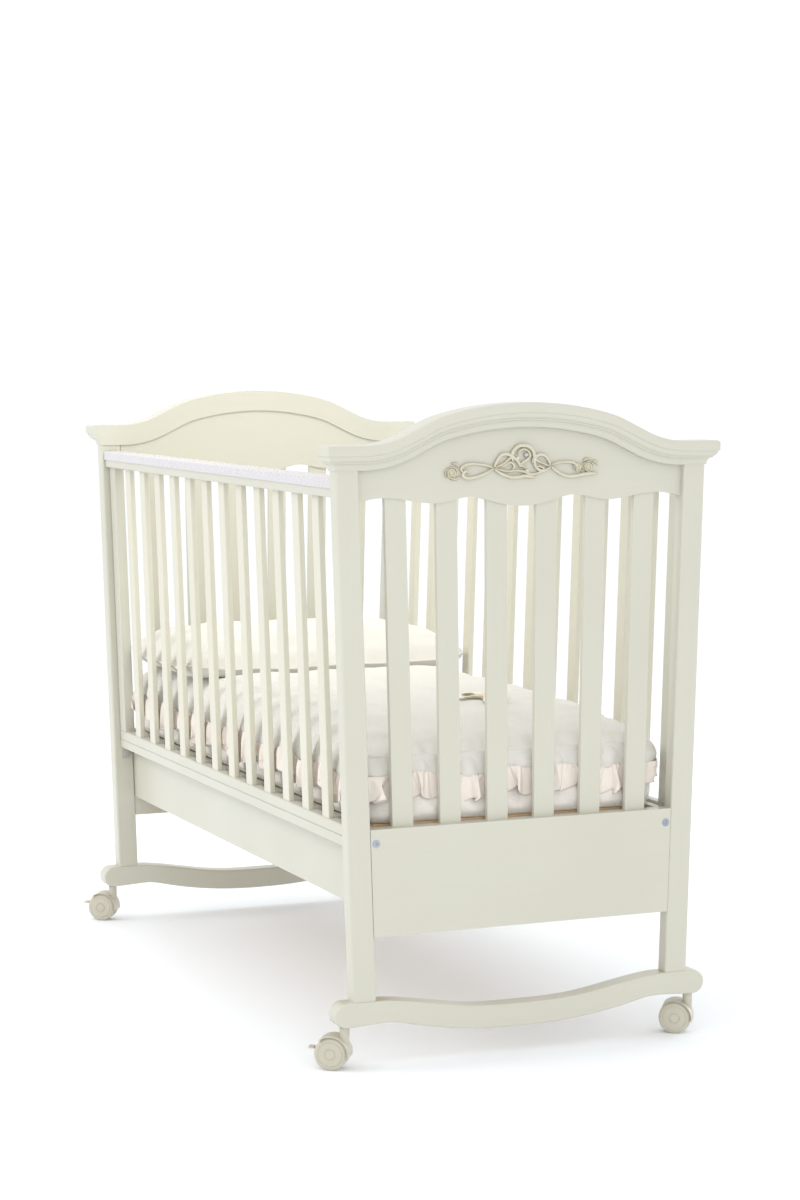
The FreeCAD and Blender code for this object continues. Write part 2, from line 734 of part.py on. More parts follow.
def fixings():
    """Bolts with their barrel nuts, and dowels, at the ends of the side boards and fixed side."""
    bolts, nuts, dowels = [], [], []
    face = val(f"{OUTER_X} - apron_inset")
    inner = face - val("apron_thick")
    deep, long = val("dowel_deep"), val("dowel_long")
    for along in (-1, 1):
        for across in (-1, 1):
            made = bolt(along, across * val(BOARD_MIDDLE), face, inner, val("bolt_height"))
            bolts.append(made[0])
            nuts.append(made[1])
            spots = [Vector(along * x, across * val(DOWEL_MIDDLE), val("dowel_height"))
                     for x in (inner + deep, inner + deep - long)]
            dowels.append(between(*spots, val("dowel_radius")))
    for along in (-1, 1):
        for height in (val("low_rail + low_rail_tall / 2"), val("top_rail + top_rail_tall / 2")):
            spots = [BACK.multVec(Vector(along * (val(HALF_INSIDE) + x), val(SIDE_MIDDLE), height))
                     for x in (deep, deep - long)]
            dowels.append(between(*spots, val("dowel_radius")))
    made = {}
    for label, shapes in (("frame_bolts", bolts), ("barrel_nuts", nuts), ("dowels", dowels)):
        feature = doc.addObject("Part::Feature", label)
        feature.Shape = Part.makeCompound(shapes)
        made[label] = keep(feature, label)
    return made


# ---- base and bedding ----

def base():
    """Cleats on the side boards carry two long rails with laths across them."""
    half_long = "mattress_length / 2"
    for side, across in (("front", -1), ("back", 1)):
        face = f"({post_outer('base_height')} - board_inset - board_thick - 1)"
        y0, y1 = sorted((f"{across} * {face}", f"{across} * ({face} - cleat_thick)"), key=val)
        label = f"base_cleat_{side}"
        keep(block(label, ("-590", y0, "base_height - cleat_tall"), ("590", y1, "base_height")), label)
        y0, y1 = sorted((f"{across} * base_half", f"{across} * (base_half - base_rail_wide)"), key=val)
        label = f"base_rail_{side}"
        keep(block(label, (f"-{half_long}", y0, "base_height"),
                   (half_long, y1, "base_height + base_rail_tall")), label)
    body = new_body("base_laths")
    sketch = new_sketch(body, "XY_Plane", "base_height + base_rail_tall")
    for i in range(int(SIZES["lath_count"])):
        middle = f"({i} - (lath_count - 1) / 2) * lath_pitch"
        rectangle(sketch, f"{middle} - lath_wide / 2", "-base_half", f"{middle} + lath_wide / 2",
                  "base_half")
    pad(body, sketch, "lath_thick")
    keep(body, "base_laths")


def bedding():
    """Plain closed solids for the mattress, the quilt that hangs over its sides, and the pillow."""
    low = "base_height + base_rail_tall + lath_thick + 0.3"
    top = f"{low} + mattress_tall"
    half_long, half_wide = "(mattress_length / 2)", "(mattress_width / 2)"
    mattress = block("mattress", (f"-{half_long}", f"-{half_wide}", low), (half_long, half_wide, top))
    soften(mattress, "mattress_corner", lambda edge: runs(edge, Vector(0, 0, 1)))
    keep(mattress, "mattress")
    far_x, far_y = f"{half_long} + quilt_end", f"{half_wide} + quilt_side"
    crown = f"{top} + 0.3 + quilt_thick"
    quilt = block("quilt_blank", (f"-({far_x})", f"-({far_y})", "quilt_hem"), (far_x, far_y, crown))
    soften(quilt, "quilt_corner", lambda edge: runs(edge, Vector(0, 0, 1)))
    soften(quilt, "16", lambda edge: edge.CenterOfMass.z > val(top) + SIZES["quilt_thick"])
    room = block("quilt_room", (f"-{half_long} - 1", f"-{half_wide} - 1", "quilt_hem - 5"),
                 (f"{half_long} + 1", f"{half_wide} + 1", f"{top} + 0.3"))
    keep(cut("quilt", quilt, room), "quilt")
    bed = f"{crown} + 0.3"
    pillow = block("pillow", ("-600", "-pillow_width / 2", bed),
                   ("-600 + pillow_length", "pillow_width / 2", f"{bed} + pillow_tall"))
    soften(pillow, "60", lambda edge: runs(edge, Vector(0, 0, 1)))
    soften(pillow, "30", lambda edge: not runs(edge, Vector(0, 0, 1)))
    keep(pillow, "pillow")


# ---- casters: z is the swivel axis, the wheels trail towards -x, the axle runs along y ----

WEB = "(wheel_gap - 1)"


def caster_place(corner):
    along, across = CORNERS[corner]
    spot = Vector(along * val(ROCKER_X), across * val("caster_y"), 0)
    return Placement(spot, Rotation(Vector(0, 0, 1), 90 - CASTER_TURN))


def hood(label, place, braked):
    """Housing: a fender over both wheels, a web between them and the neck above."""
    body = new_body(label, place)
    half = "(wheel_gap + wheel_wide + 0.5)"
    fender = new_sketch(body, "XZ_Plane", f"-{half}")
    axle, radius = (-val("trail"), val("wheel_radius")), val("hood_radius")
    start, stop = math.radians(-12), math.radians(132)
    rim = [(axle[0] + radius * math.cos(a), axle[1] + radius * math.sin(a))
           for a in (start, (start + stop) / 2, stop)]
    trace(fender, [arc(*rim), line(rim[2], axle), line(axle, rim[0])])
    pad(body, fender, f"2 * {half}")
    soften(body, "3", lambda edge: abs(edge.CenterOfMass.y) > val(half) - 0.1 and edge.Length > 40)
    neck = new_sketch(body, "XY_Plane", "wheel_radius + 8")
    circle(neck, "0", "0", "8")
    pad(body, neck, "seat - 41.5 - wheel_radius - 8")
    for start in (WEB, f"-({half} + 1)"):
        space = new_sketch(body, "XZ_Plane", f"-({start})")
        circle(space, "-trail", "wheel_radius", "hood_space")
        pocket(body, space, f"{half} + 1 - {WEB}")
    web = new_sketch(body, "XZ_Plane", WEB)
    circle(web, "-trail", "wheel_radius", "hood_web")
    feature = pad(body, web, f"2 * {WEB}")
    feature.Reversed = True
    doc.recompute()
    bore = new_sketch(body, "XZ_Plane", "20")
    circle(bore, "-trail", "wheel_radius", "axle_radius")
    pocket(body, bore, "40")
    socket = new_sketch(body, "XY_Plane", "wheel_radius + 28")
    circle(socket, "0", "0", "stem_radius")
    pocket(body, socket, "30", reverse=True)
    if braked:
        slot = new_sketch(body, "XY_Plane", "20")
        rectangle(slot, "-52", "-2.6", "-33", "2.6")
        pocket(body, slot, "26", reverse=True)
        pin = new_sketch(body, "XZ_Plane", "3.5")
        circle(pin, "-pin_out", "pin_up", "pin_radius")
        feature = pad(body, pin, "7")
        feature.Reversed = True
        doc.recompute()
    return keep(body, label)


def caster_pins(label, place):
    """Steel swivel stem and wheel axle."""
    foot = val("wheel_radius + 28")
    stem = Part.makeCylinder(val("stem_radius"), val("seat - 12") - foot, Vector(0, 0, foot))
    reach = val("wheel_gap + wheel_wide - 3.4")
    start = Vector(-val("trail"), -reach, val("wheel_radius"))
    axle = Part.makeCylinder(val("axle_radius"), 2 * reach, start, Vector(0, 1, 0))
    feature = doc.addObject("Part::Feature", label)
    feature.Shape = Part.makeCompound([stem, axle])
    feature.Placement = place
    return keep(feature, label)


def wheel(label, place, across):
    """One wheel of a pair: turned section with a stepped, slightly domed outer face."""
    body = new_body(label, place)
    rim, wide, bore = val("wheel_radius"), val("wheel_wide"), val("axle_radius + running")
    inner = val("wheel_gap")
    hub = [(0, wide), (7, wide), (7.6, wide - 1), (9, wide - 1), (9.6, wide - 0.2), (19, wide - 0.6),
           (19.5, wide - 1.4), (20.6, wide - 1.4), (21.1, wide - 0.9), (rim - 3, wide - 1.8),
           (rim, wide - 4.5), (rim, 1.5), (rim - 1.5, 0), (bore, 0), (bore, wide - 3), (0, wide - 3)]
    points = [(r, inner + h) for r, h in hub]
    sketch = new_sketch(body, "YZ_Plane", "-trail")
    centre = val("wheel_radius")
    trace(sketch, [line((across * a[1], centre + a[0]), (across * b[1], centre + b[0]))
                   for a, b in zip(points, points[1:] + points[:1])])
    sketch.addGeometry(line((-30, centre), (30, centre)), True)
    turn = body.newObject("PartDesign::Revolution", "Turned")
    turn.Profile = sketch
    turn.ReferenceAxis = (sketch, ["Axis0"])
    turn.Angle = 360
    doc.recompute()
    return keep(body, label)


def brake_lever(label, place):
    """Pedal behind the wheels, hinged on a pin through the web."""
    x, z, pin = -val("pin_out"), val("pin_up"), val("pin_radius")
    arm = Part.makeBox(15, 4.6, 4, Vector(x - 15, -2.3, z - 2))
    boss = Part.makeCylinder(3.4, 4.6, Vector(x, -2.3, z), Vector(0, 1, 0))
    pedal = Part.makeBox(9, 14, 3, Vector(-58.5, -7, z - 1))
    hole = Part.makeCylinder(pin + val("running"), 6, Vector(x, -3, z), Vector(0, 1, 0))
    shape = arm.fuse(boss).fuse(pedal).removeSplitter().cut(hole)
    feature = doc.addObject("Part::Feature", label)
    feature.Shape = shape
    feature.Placement = place
    return keep(feature, label)


def caster(corner):
    place = caster_place(corner)
    braked = corner.startswith("front")
    hood(f"caster_hood_{corner}", place, braked)
    caster_pins(f"caster_pins_{corner}", place)
    wheel(f"wheel_left_{corner}", place, 1)
    wheel(f"wheel_right_{corner}", place, -1)
    if braked:
        brake_lever(f"brake_lever_{corner}", place)


# ---- the whole crib ----

def bore_for(label, fixing_names, made):
    """Replace a blank with the blank bored for its fixings."""
    blank = doc.getObjectsByLabel(label + "_blank")[0]
    tool = grouped(label + "_fixings", [made[name] for name in fixing_names])
    return keep(cut(label, blank, tool), label)


def check_and_export():
    doc.recompute()
    for thing in doc.Objects:
        assert "Invalid" not in thing.State and "Error" not in thing.State, f"{thing.Label} failed"
    labels = [thing.Label for thing in parts]
    assert len(set(labels)) == len(labels), "two sub-parts share a name"
    for thing in parts:
        assert not thing.Shape.isNull() and thing.Shape.isValid(), f"{thing.Label} has no valid shape"
    os.makedirs("parts", exist_ok=True)
    for thing in parts:
        thing.Shape.exportStep(f"parts/{thing.Label}.step")
    print(len(parts), "sub-parts")


fill_sheet()
fixing_parts = fixings()
for end_name in ("foot", "head"):
    end_frame(end_name, fixing_parts["dowels"])
ornament("foot")
grooves = end_grooves()
slatted_side("drop_side", FRONT, "side_gap", grooves, grooves)
slatted_side("fixed_side", BACK, "0", fixing_parts["dowels"], None)
teething_cap()
guide_pegs()
guide_blocks()
side_board("side_board_front", FRONT)
side_board("side_board_back", BACK)
for board in ("side_board_front", "side_board_back"):
    bore_for(board, ("frame_bolts", "barrel_nuts", "dowels"), fixing_parts)
base()
bedding()
for corner_name in CORNERS:
    caster(corner_name)
check_and_export()
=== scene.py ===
import math
import random

import bpy
import numpy as np
from mathutils import Matrix, Vector, noise


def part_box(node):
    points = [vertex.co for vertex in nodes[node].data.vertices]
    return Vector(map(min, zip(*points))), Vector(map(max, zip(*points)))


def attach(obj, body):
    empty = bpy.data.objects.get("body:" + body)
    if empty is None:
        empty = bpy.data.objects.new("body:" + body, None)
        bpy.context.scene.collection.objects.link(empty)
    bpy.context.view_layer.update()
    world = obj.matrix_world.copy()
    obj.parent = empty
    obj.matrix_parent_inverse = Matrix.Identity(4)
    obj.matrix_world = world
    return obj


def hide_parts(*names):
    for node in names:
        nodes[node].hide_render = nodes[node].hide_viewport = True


# The looks of a cream baby crib. Metres; +X is the foot end with the ornament, -Y the drop side.

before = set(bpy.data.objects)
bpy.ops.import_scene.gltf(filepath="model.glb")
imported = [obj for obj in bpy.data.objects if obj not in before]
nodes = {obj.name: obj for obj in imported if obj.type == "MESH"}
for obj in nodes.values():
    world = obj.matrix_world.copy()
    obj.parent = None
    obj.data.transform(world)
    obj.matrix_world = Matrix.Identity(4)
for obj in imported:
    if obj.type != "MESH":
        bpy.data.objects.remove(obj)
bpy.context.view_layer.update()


# ---- materials ----

EVEN = (1, 1, 1)


def add_node(tree, kind, settings=None, **inputs):
    made = tree.nodes.new(kind)
    for name, value in (settings or {}).items():
        setattr(made, name, value)
    for name, value in inputs.items():
        socket = made.inputs[name.replace("_", " ")]
        if isinstance(value, bpy.types.NodeSocket):
            tree.links.new(value, socket)
        else:
            socket.default_value = value
    return made


def start_material(name, roughness=0.5, **uniform):
    """A Principled material. Values that are the same all over are set on its own sockets."""
    made = bpy.data.materials.new(name)
    made.use_nodes = True
    tree = made.node_tree
    shader = tree.nodes["Principled BSDF"]
    shader.inputs["Roughness"].default_value = roughness
    for socket, value in uniform.items():
        shader.inputs[socket.replace("_", " ")].default_value = value
    return made, tree, shader


def stretched(tree, scale):
    """Coordinates of the piece, stretched by a scale for each axis."""
    where = add_node(tree, "ShaderNodeTexCoord")
    mapping = add_node(tree, "ShaderNodeMapping", Vector=where.outputs["Object"])
    mapping.inputs["Scale"].default_value = scale
    return mapping.outputs["Vector"]


def noise_of(tree, scale, size=1.0, detail=3.0, roughness=0.5):
    made = add_node(tree, "ShaderNodeTexNoise", Vector=stretched(tree, scale), Scale=size,
                    Detail=detail, Roughness=roughness)
    return made.outputs["Fac"]


def ranged(tree, value, low, high, new_low, new_high):
    return add_node(tree, "ShaderNodeMapRange", Value=value, From_Min=low, From_Max=high,
                    To_Min=new_low, To_Max=new_high).outputs["Result"]


def spread_noise(tree, value, low=0.0, high=1.0):
    """Stretch the middle of a noise, where most of its values lie, over a range."""
    return ranged(tree, value, 0.3, 0.7, low, high)


def mixed(tree, factor, first, second):
    """Mix two colours. In a colour mix, inputs 6 and 7 are A and B, and output 2 is the result."""
    made = add_node(tree, "ShaderNodeMix", {"data_type": "RGBA"})
    for number, value in ((0, factor), (6, first), (7, second)):
        if isinstance(value, bpy.types.NodeSocket):
            tree.links.new(value, made.inputs[number])
        else:
            made.inputs[number].default_value = value
    return made.outputs[2]


def bump(tree, height, distance, strength=1.0, normal=None):
    made = add_node(tree, "ShaderNodeBump", Height=height, Distance=distance, Strength=strength)
    if normal is not None:
        tree.links.new(normal, made.inputs["Normal"])
    return made.outputs["Normal"]


def add_up(tree, first, second):
    made = add_node(tree, "ShaderNodeMath", {"operation": "ADD"})
    tree.links.new(first, made.inputs[0])
    tree.links.new(second, made.inputs[1])
    return made.outputs[0]


def rgb(red, green, blue):
    return (red, green, blue, 1.0)


def paint(name, grain, colour, shade, roughness=0.34):
    """Sprayed satin lacquer over beech. The grain runs along the axis with the smallest scale."""
    made, tree, shader = start_material(name, roughness, Coat_Weight=0.18, Coat_Roughness=0.16)
    cloud = noise_of(tree, EVEN, 3.2, 2)
    fibre = noise_of(tree, grain, 1.0, 5, 0.62)
    peel = noise_of(tree, EVEN, 620, 2)
    base = mixed(tree, spread_noise(tree, cloud), colour, shade)
    fine = ranged(tree, fibre, 0.35, 0.68, 0.0, 0.06)
    tree.links.new(mixed(tree, fine, base, rgb(0.50, 0.46, 0.34)), shader.inputs["Base Color"])
    tree.links.new(spread_noise(tree, cloud, roughness - 0.04, roughness + 0.06),
                   shader.inputs["Roughness"])
    wave = bump(tree, fibre, 0.00022, 0.5)
    tree.links.new(bump(tree, peel, 0.00006, 0.5, wave), shader.inputs["Normal"])
    return made


CREAM = rgb(0.568, 0.560, 0.476)
CREAM_SHADE = rgb(0.551, 0.541, 0.456)
GRAIN_X, GRAIN_Y, GRAIN_Z = (5, 130, 130), (130, 5, 130), (130, 130, 5)
along_x = paint("paint_along_x", GRAIN_X, CREAM, CREAM_SHADE)
along_y = paint("paint_along_y", GRAIN_Y, CREAM, CREAM_SHADE)
along_z = paint("paint_along_z", GRAIN_Z, CREAM, CREAM_SHADE)
# Painted light: the bars of the two sides get a lighter, warmer copy of the paint than the ends,
# standing in for the extra light they catch.
bars_with_painted_light = paint("paint_side_bars", GRAIN_Z, rgb(0.640, 0.622, 0.515), rgb(0.620, 0.600, 0.490))


def fine_grain(tree, shader, roughness, speck):
    """A fine grain in a surface's roughness and relief."""
    grainy = noise_of(tree, EVEN, speck, 2)
    tree.links.new(spread_noise(tree, grainy, roughness - 0.05, roughness + 0.07),
                   shader.inputs["Roughness"])
    tree.links.new(bump(tree, grainy, 0.00008, 0.5), shader.inputs["Normal"])


def moulded(name, colour, shade, roughness, speck=840.0):
    """Injection-moulded plastic with a fine spark texture."""
    made, tree, shader = start_material(name, roughness)
    cloud = spread_noise(tree, noise_of(tree, EVEN, 24, 2))
    tree.links.new(mixed(tree, cloud, colour, shade), shader.inputs["Base Color"])
    fine_grain(tree, shader, roughness, speck)
    return made


caster_cream = moulded("caster_cream", rgb(0.535, 0.512, 0.425), rgb(0.51, 0.485, 0.395), 0.38)
wheel_cream = moulded("wheel_cream", rgb(0.525, 0.495, 0.405), rgb(0.495, 0.465, 0.375), 0.42)
teething_white = moulded("teething_white", rgb(0.590, 0.572, 0.585), rgb(0.570, 0.552, 0.565), 0.24,
                         320)
catch_grey = moulded("catch_grey", rgb(0.46, 0.44, 0.40), rgb(0.38, 0.365, 0.34), 0.45)
peg_nylon = moulded("peg_nylon", rgb(0.80, 0.79, 0.72), rgb(0.76, 0.75, 0.68), 0.45)


def plated(name):
    """Zinc-plated steel with fine scratches."""
    made, tree, shader = start_material(name, 0.28, Metallic=1.0)
    scratch = noise_of(tree, (900, 60, 60), 1.0, 3)
    tree.links.new(mixed(tree, scratch, rgb(0.24, 0.27, 0.31), rgb(0.52, 0.56, 0.61)),
                   shader.inputs["Base Color"])
    tree.links.new(spread_noise(tree, scratch, 0.2, 0.38), shader.inputs["Roughness"])
    tree.links.new(bump(tree, scratch, 0.00003, 0.4), shader.inputs["Normal"])
    return made


def beech(name, grain):
    """Bare beech with its short dark flecks."""
    made, tree, shader = start_material(name, 0.62)
    fibre = noise_of(tree, grain, 1.0, 6, 0.6)
    # Flecks are shorter than the fibres: small scales run along the grain, large ones across it.
    fleck = noise_of(tree, tuple(g * (2.5 if g > 20 else 9) for g in grain), 1.0, 1)
    base = mixed(tree, spread_noise(tree, fibre), rgb(0.60, 0.40, 0.23), rgb(0.70, 0.50, 0.31))
    flecks = ranged(tree, fleck, 0.62, 0.70, 0, 0.35)
    tree.links.new(mixed(tree, flecks, base, rgb(0.36, 0.20, 0.10)), shader.inputs["Base Color"])
    tree.links.new(spread_noise(tree, fibre, 0.55, 0.7), shader.inputs["Roughness"])
    tree.links.new(bump(tree, fibre, 0.0003, 0.6), shader.inputs["Normal"])
    return made


def cut_crystal(name):
    """Foil-backed glass. Its facets are painted bright and dark in its colour, a painted
    reflection; the bump gives their relief.
    """
    made, tree, shader = start_material(name, 0.06, Metallic=0.35, Coat_Weight=1.0)
    facets = add_node(tree, "ShaderNodeTexVoronoi", Vector=stretched(tree, EVEN), Scale=900.0)
    depth = facets.outputs["Distance"]
    # Painted reflection: by the Voronoi distance, each facet is bright or dark in the base colour.
    tree.links.new(mixed(tree, ranged(tree, depth, 0.1, 0.6, 0, 1), rgb(0.95, 0.96, 0.98),
                         rgb(0.45, 0.47, 0.52)), shader.inputs["Base Color"])
    tree.links.new(bump(tree, depth, 0.0006, 0.8), shader.inputs["Normal"])
    return made


bright_steel = plated("bright_steel")
crystal = cut_crystal("crystal")
beech_x = beech("beech_along_x", (6, 150, 150))
beech_y = beech("beech_along_y", (150, 6, 150))


def woven(name, colour, shade, roughness, thread, sheen, folds, weave=0.00016):
    """Cotton or satin: threads, soft tone changes, sheen, and creases with a depth of folds."""
    made, tree, shader = start_material(name, roughness, Sheen_Weight=sheen, Sheen_Roughness=0.45)
    where = stretched(tree, (thread, thread, thread))
    waves = [add_node(tree, "ShaderNodeTexWave", {"bands_direction": axis, "wave_profile": "SIN"},
                      Vector=where, Scale=1.0, Distortion=1.2, Detail=2.0).outputs["Fac"]
             for axis in "XYZ"]
    threads = add_up(tree, add_up(tree, waves[0], waves[1]), waves[2])
    cloud = noise_of(tree, EVEN, 9, 3)
    slub = noise_of(tree, EVEN, 160, 3)
    base = mixed(tree, spread_noise(tree, cloud), colour, shade)
    darker = ranged(tree, threads, 0.4, 2.6, 0.10, 0.0)
    tree.links.new(mixed(tree, darker, base, rgb(0.60, 0.54, 0.44)), shader.inputs["Base Color"])
    tree.links.new(spread_noise(tree, slub, roughness - 0.05, roughness + 0.08),
                   shader.inputs["Roughness"])
    crease = noise_of(tree, EVEN, 34, 4, 0.6)
    surface = bump(tree, crease, folds, 0.7, bump(tree, threads, weave, 0.6))
    tree.links.new(surface, shader.inputs["Normal"])
    return made


quilt_cotton = woven("quilt_cotton", rgb(0.795, 0.778, 0.735), rgb(0.775, 0.753, 0.702),
                     0.70, 2100, 0.18, 0.0034)
pillow_cotton = woven("pillow_cotton", rgb(0.785, 0.770, 0.725), rgb(0.765, 0.747, 0.695),
                      0.70, 2100, 0.18, 0.0026)
ruffle_satin = woven("ruffle_satin", rgb(0.88, 0.805, 0.74), rgb(0.84, 0.755, 0.68),
                     0.34, 2600, 0.25, 0.0022, 0.00008)
sheet_satin = woven("sheet_satin", rgb(0.87, 0.835, 0.79), rgb(0.82, 0.775, 0.72),
                    0.30, 2600, 0.2, 0.0040, 0.00008)


def resin_with_painted_recess_shade(name, colour, shade, painted_recess_shade, roughness):
    """Painted resin, darker in its hollows, which are low along the piece's x: painted shade,
    deepest towards the back of the piece.
    """
    made, tree, shader = start_material(name, roughness)
    cloud = noise_of(tree, EVEN, 60, 3)
    place = add_node(tree, "ShaderNodeSeparateXYZ", Vector=stretched(tree, EVEN))
    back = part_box("ornament")[0].x
    # Painted shade: the colour darkens towards the back along x, where the hollows lie.
    painted_recess_shade_mask = ranged(tree, place.outputs["X"], back + 0.0012, back + 0.0056, 1.0, 0.0)
    base = mixed(tree, spread_noise(tree, cloud), colour, shade)
    tree.links.new(mixed(tree, painted_recess_shade_mask, base, painted_recess_shade), shader.inputs["Base Color"])
    fine_grain(tree, shader, roughness, 520)
    return made


# The last colour is the painted shade in the ornament's hollows.
resin_cream = resin_with_painted_recess_shade("resin_cream", rgb(0.640, 0.610, 0.485), rgb(0.600, 0.560, 0.425),
                           rgb(0.430, 0.390, 0.280), 0.36)
bow_satin = woven("bow_satin", rgb(0.90, 0.83, 0.64), rgb(0.87, 0.79, 0.57),
                  0.40, 2600, 0.25, 0.0004, 0.00008)


# ---- what the CAD pieces are made of ----

FINISHES = (
    (crystal, ("ornament_crystals",)),
    (along_x, ("side_top_rail", "side_bottom_rail", "side_board")),
    (along_y, ("apron", "rocker", "moulding", "top_panel")),
    # The side bars take the lighter copy of the paint, which is painted light.
    (bars_with_painted_light, ("bars",)),
    (along_z, ("post", "stile", "slats")),
    (caster_cream, ("caster_hood", "brake_lever")),
    (wheel_cream, ("wheel_",)),
    (teething_white, ("teething_cap",)),
    (catch_grey, ("guide_blocks",)),
    (peg_nylon, ("guide_pegs",)),
    (bright_steel, ("frame_bolts", "barrel_nuts", "caster_pins")),
    (beech_x, ("base_cleat", "base_rail", "dowels")),
    (beech_y, ("base_laths",)),
)


def finish_of(name):
    """The first finish with a word in the name. Pieces that something replaces find none."""
    for made, words in FINISHES:
        if any(word in name for word in words):
            return made
    return along_y


for name, thing in nodes.items():
    thing.data.materials.clear()
    thing.data.materials.append(finish_of(name))

# ---- camera, floor and light ----

# The camera was solved from the crib's corners in the photo.
CAMERA_PLACE = (4.7187, -1.9241, 1.1579)
CAMERA_LOOK = (-0.91850, 0.38484, -0.09082)
CAMERA_ROLL = -0.068
FLOOR_HALF = 60.0

camera_data = bpy.data.cameras.new("camera")
camera_data.sensor_width = 36
camera_data.lens = 83.41
camera_data.clip_end = 200
camera = bpy.data.objects.new("camera", camera_data)
bpy.context.scene.collection.objects.link(camera)
look = Vector(CAMERA_LOOK).normalized().to_track_quat("-Z", "Y").to_matrix()
turn = look @ Matrix.Rotation(math.radians(CAMERA_ROLL), 3, "Z")
camera.matrix_world = Matrix.Translation(CAMERA_PLACE) @ turn.to_4x4()
bpy.context.scene.camera = camera

bpy.context.scene.view_settings.view_transform = "Standard"

world = bpy.data.worlds.new("studio")
bpy.context.scene.world = world
world.use_nodes = True
background = world.node_tree.nodes["Background"]
background.inputs["Color"].default_value = rgb(1.0, 1.0, 1.0)
background.inputs["Strength"].default_value = 1.08

floor_material, floor_tree, floor_shader = start_material("floor_white", 0.9)
floor_colour = mixed(floor_tree, noise_of(floor_tree, EVEN, 0.7, 2), rgb(0.930, 0.955, 0.988),
                     rgb(0.940, 0.965, 0.997))
floor_tree.links.new(floor_colour, floor_shader.inputs["Base Color"])
floor_mesh = bpy.data.meshes.new("floor")
floor_mesh.from_pydata([(x * FLOOR_HALF, y * FLOOR_HALF, 0)
                        for x, y in ((-1, -1), (1, -1), (1, 1), (-1, 1))], [], [(0, 1, 2, 3)])
floor_mesh.materials.append(floor_material)
floor = bpy.data.objects.new("floor", floor_mesh)
bpy.context.scene.collection.objects.link(floor)


def soft_light(name, place, target, size, power, colour=(1.0, 1.0, 1.0), spread=180):
    """A round lamp at a place, aimed at a target. Power is in watts and spread in degrees."""
    data = bpy.data.lights.new(name, "AREA")
    data.shape = "DISK"
    data.size = size
    data.energy = power
    data.color = colour
    data.spread = math.radians(spread)
    lamp = bpy.data.objects.new(name, data)
    bpy.context.scene.collection.objects.link(lamp)
    aim = (Vector(target) - Vector(place)).to_track_quat("-Z", "Y")
    lamp.matrix_world = Matrix.Translation(place) @ aim.to_matrix().to_4x4()


soft_light("key", (-0.8, -4.2, 3.6), (0, 0, 0.5), 2.6, 63)
soft_light("front", (4.2, -1.2, 1.7), (0.6, 0, 0.6), 2.0, 26)
soft_light("fill", (-0.6, 3.4, 0.9), (0.1, -0.3, 0.0), 2.2, 36, (0.84, 0.93, 1.0))
soft_light("top", (0.38, -0.05, 2.3), (-0.75, 0, 0.85), 1.0, 3.7, (1.0, 0.96, 0.89), 75)

# ---- meshes ----

def piece(name, points, faces, material):
    """A smooth piece that rides the crib's frame."""
    mesh = bpy.data.meshes.new(name)
    mesh.from_pydata([tuple(p) for p in points], [], [tuple(f) for f in faces])
    mesh.materials.append(material)
    mesh.polygons.foreach_set("use_smooth", [True] * len(mesh.polygons))
    mesh.update()
    made = bpy.data.objects.new(name, mesh)
    bpy.context.scene.collection.objects.link(made)
    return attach(made, "frame")


def points_of(thing):
    flat = np.empty(len(thing.data.vertices) * 3)
    thing.data.vertices.foreach_get("co", flat)
    return flat.reshape(-1, 3)


def set_points(thing, points):
    thing.data.vertices.foreach_set("co", np.ascontiguousarray(points, float).ravel())
    thing.data.update()


def apply_all(thing):
    """Turn a piece's modifiers into plain mesh."""
    seen = thing.evaluated_get(bpy.context.evaluated_depsgraph_get())
    mesh = bpy.data.meshes.new_from_object(seen)
    old = thing.data
    thing.modifiers.clear()
    thing.data = mesh
    bpy.data.meshes.remove(old)


def subdivide(thing):
    made = thing.modifiers.new("smooth", "SUBSURF")
    made.levels = made.render_levels = 1
    apply_all(thing)


def softly(value, limit, soft):
    """Keep a value within plus or minus a limit, easing into it over the last stretch."""
    over = np.abs(value) - (limit - soft)
    eased = limit - soft + soft * np.tanh(np.maximum(over, 0) / soft)
    return np.where(over > 0, np.copysign(eased, value), value)


def smooth_curve(at, knots, width):
    """Straight lines between knots, with their corners smoothed over a width to each side."""
    x, y = zip(*knots)
    return np.mean([np.interp(at + d, x, y) for d in np.linspace(-width, width, 11)], axis=0)


def sigmoid(value):
    return 1 / (1 + np.exp(-value))


def cloudy(x, y, size, seed, squeeze=1.0):
    """Smooth random bumps between about -1 and 1 over a surface."""
    return np.array([noise.noise(Vector((a / size, b / size * squeeze, seed * 7.3)))
                     for a, b in zip(np.ravel(x), np.ravel(y))]).reshape(np.shape(x)) * 2.0


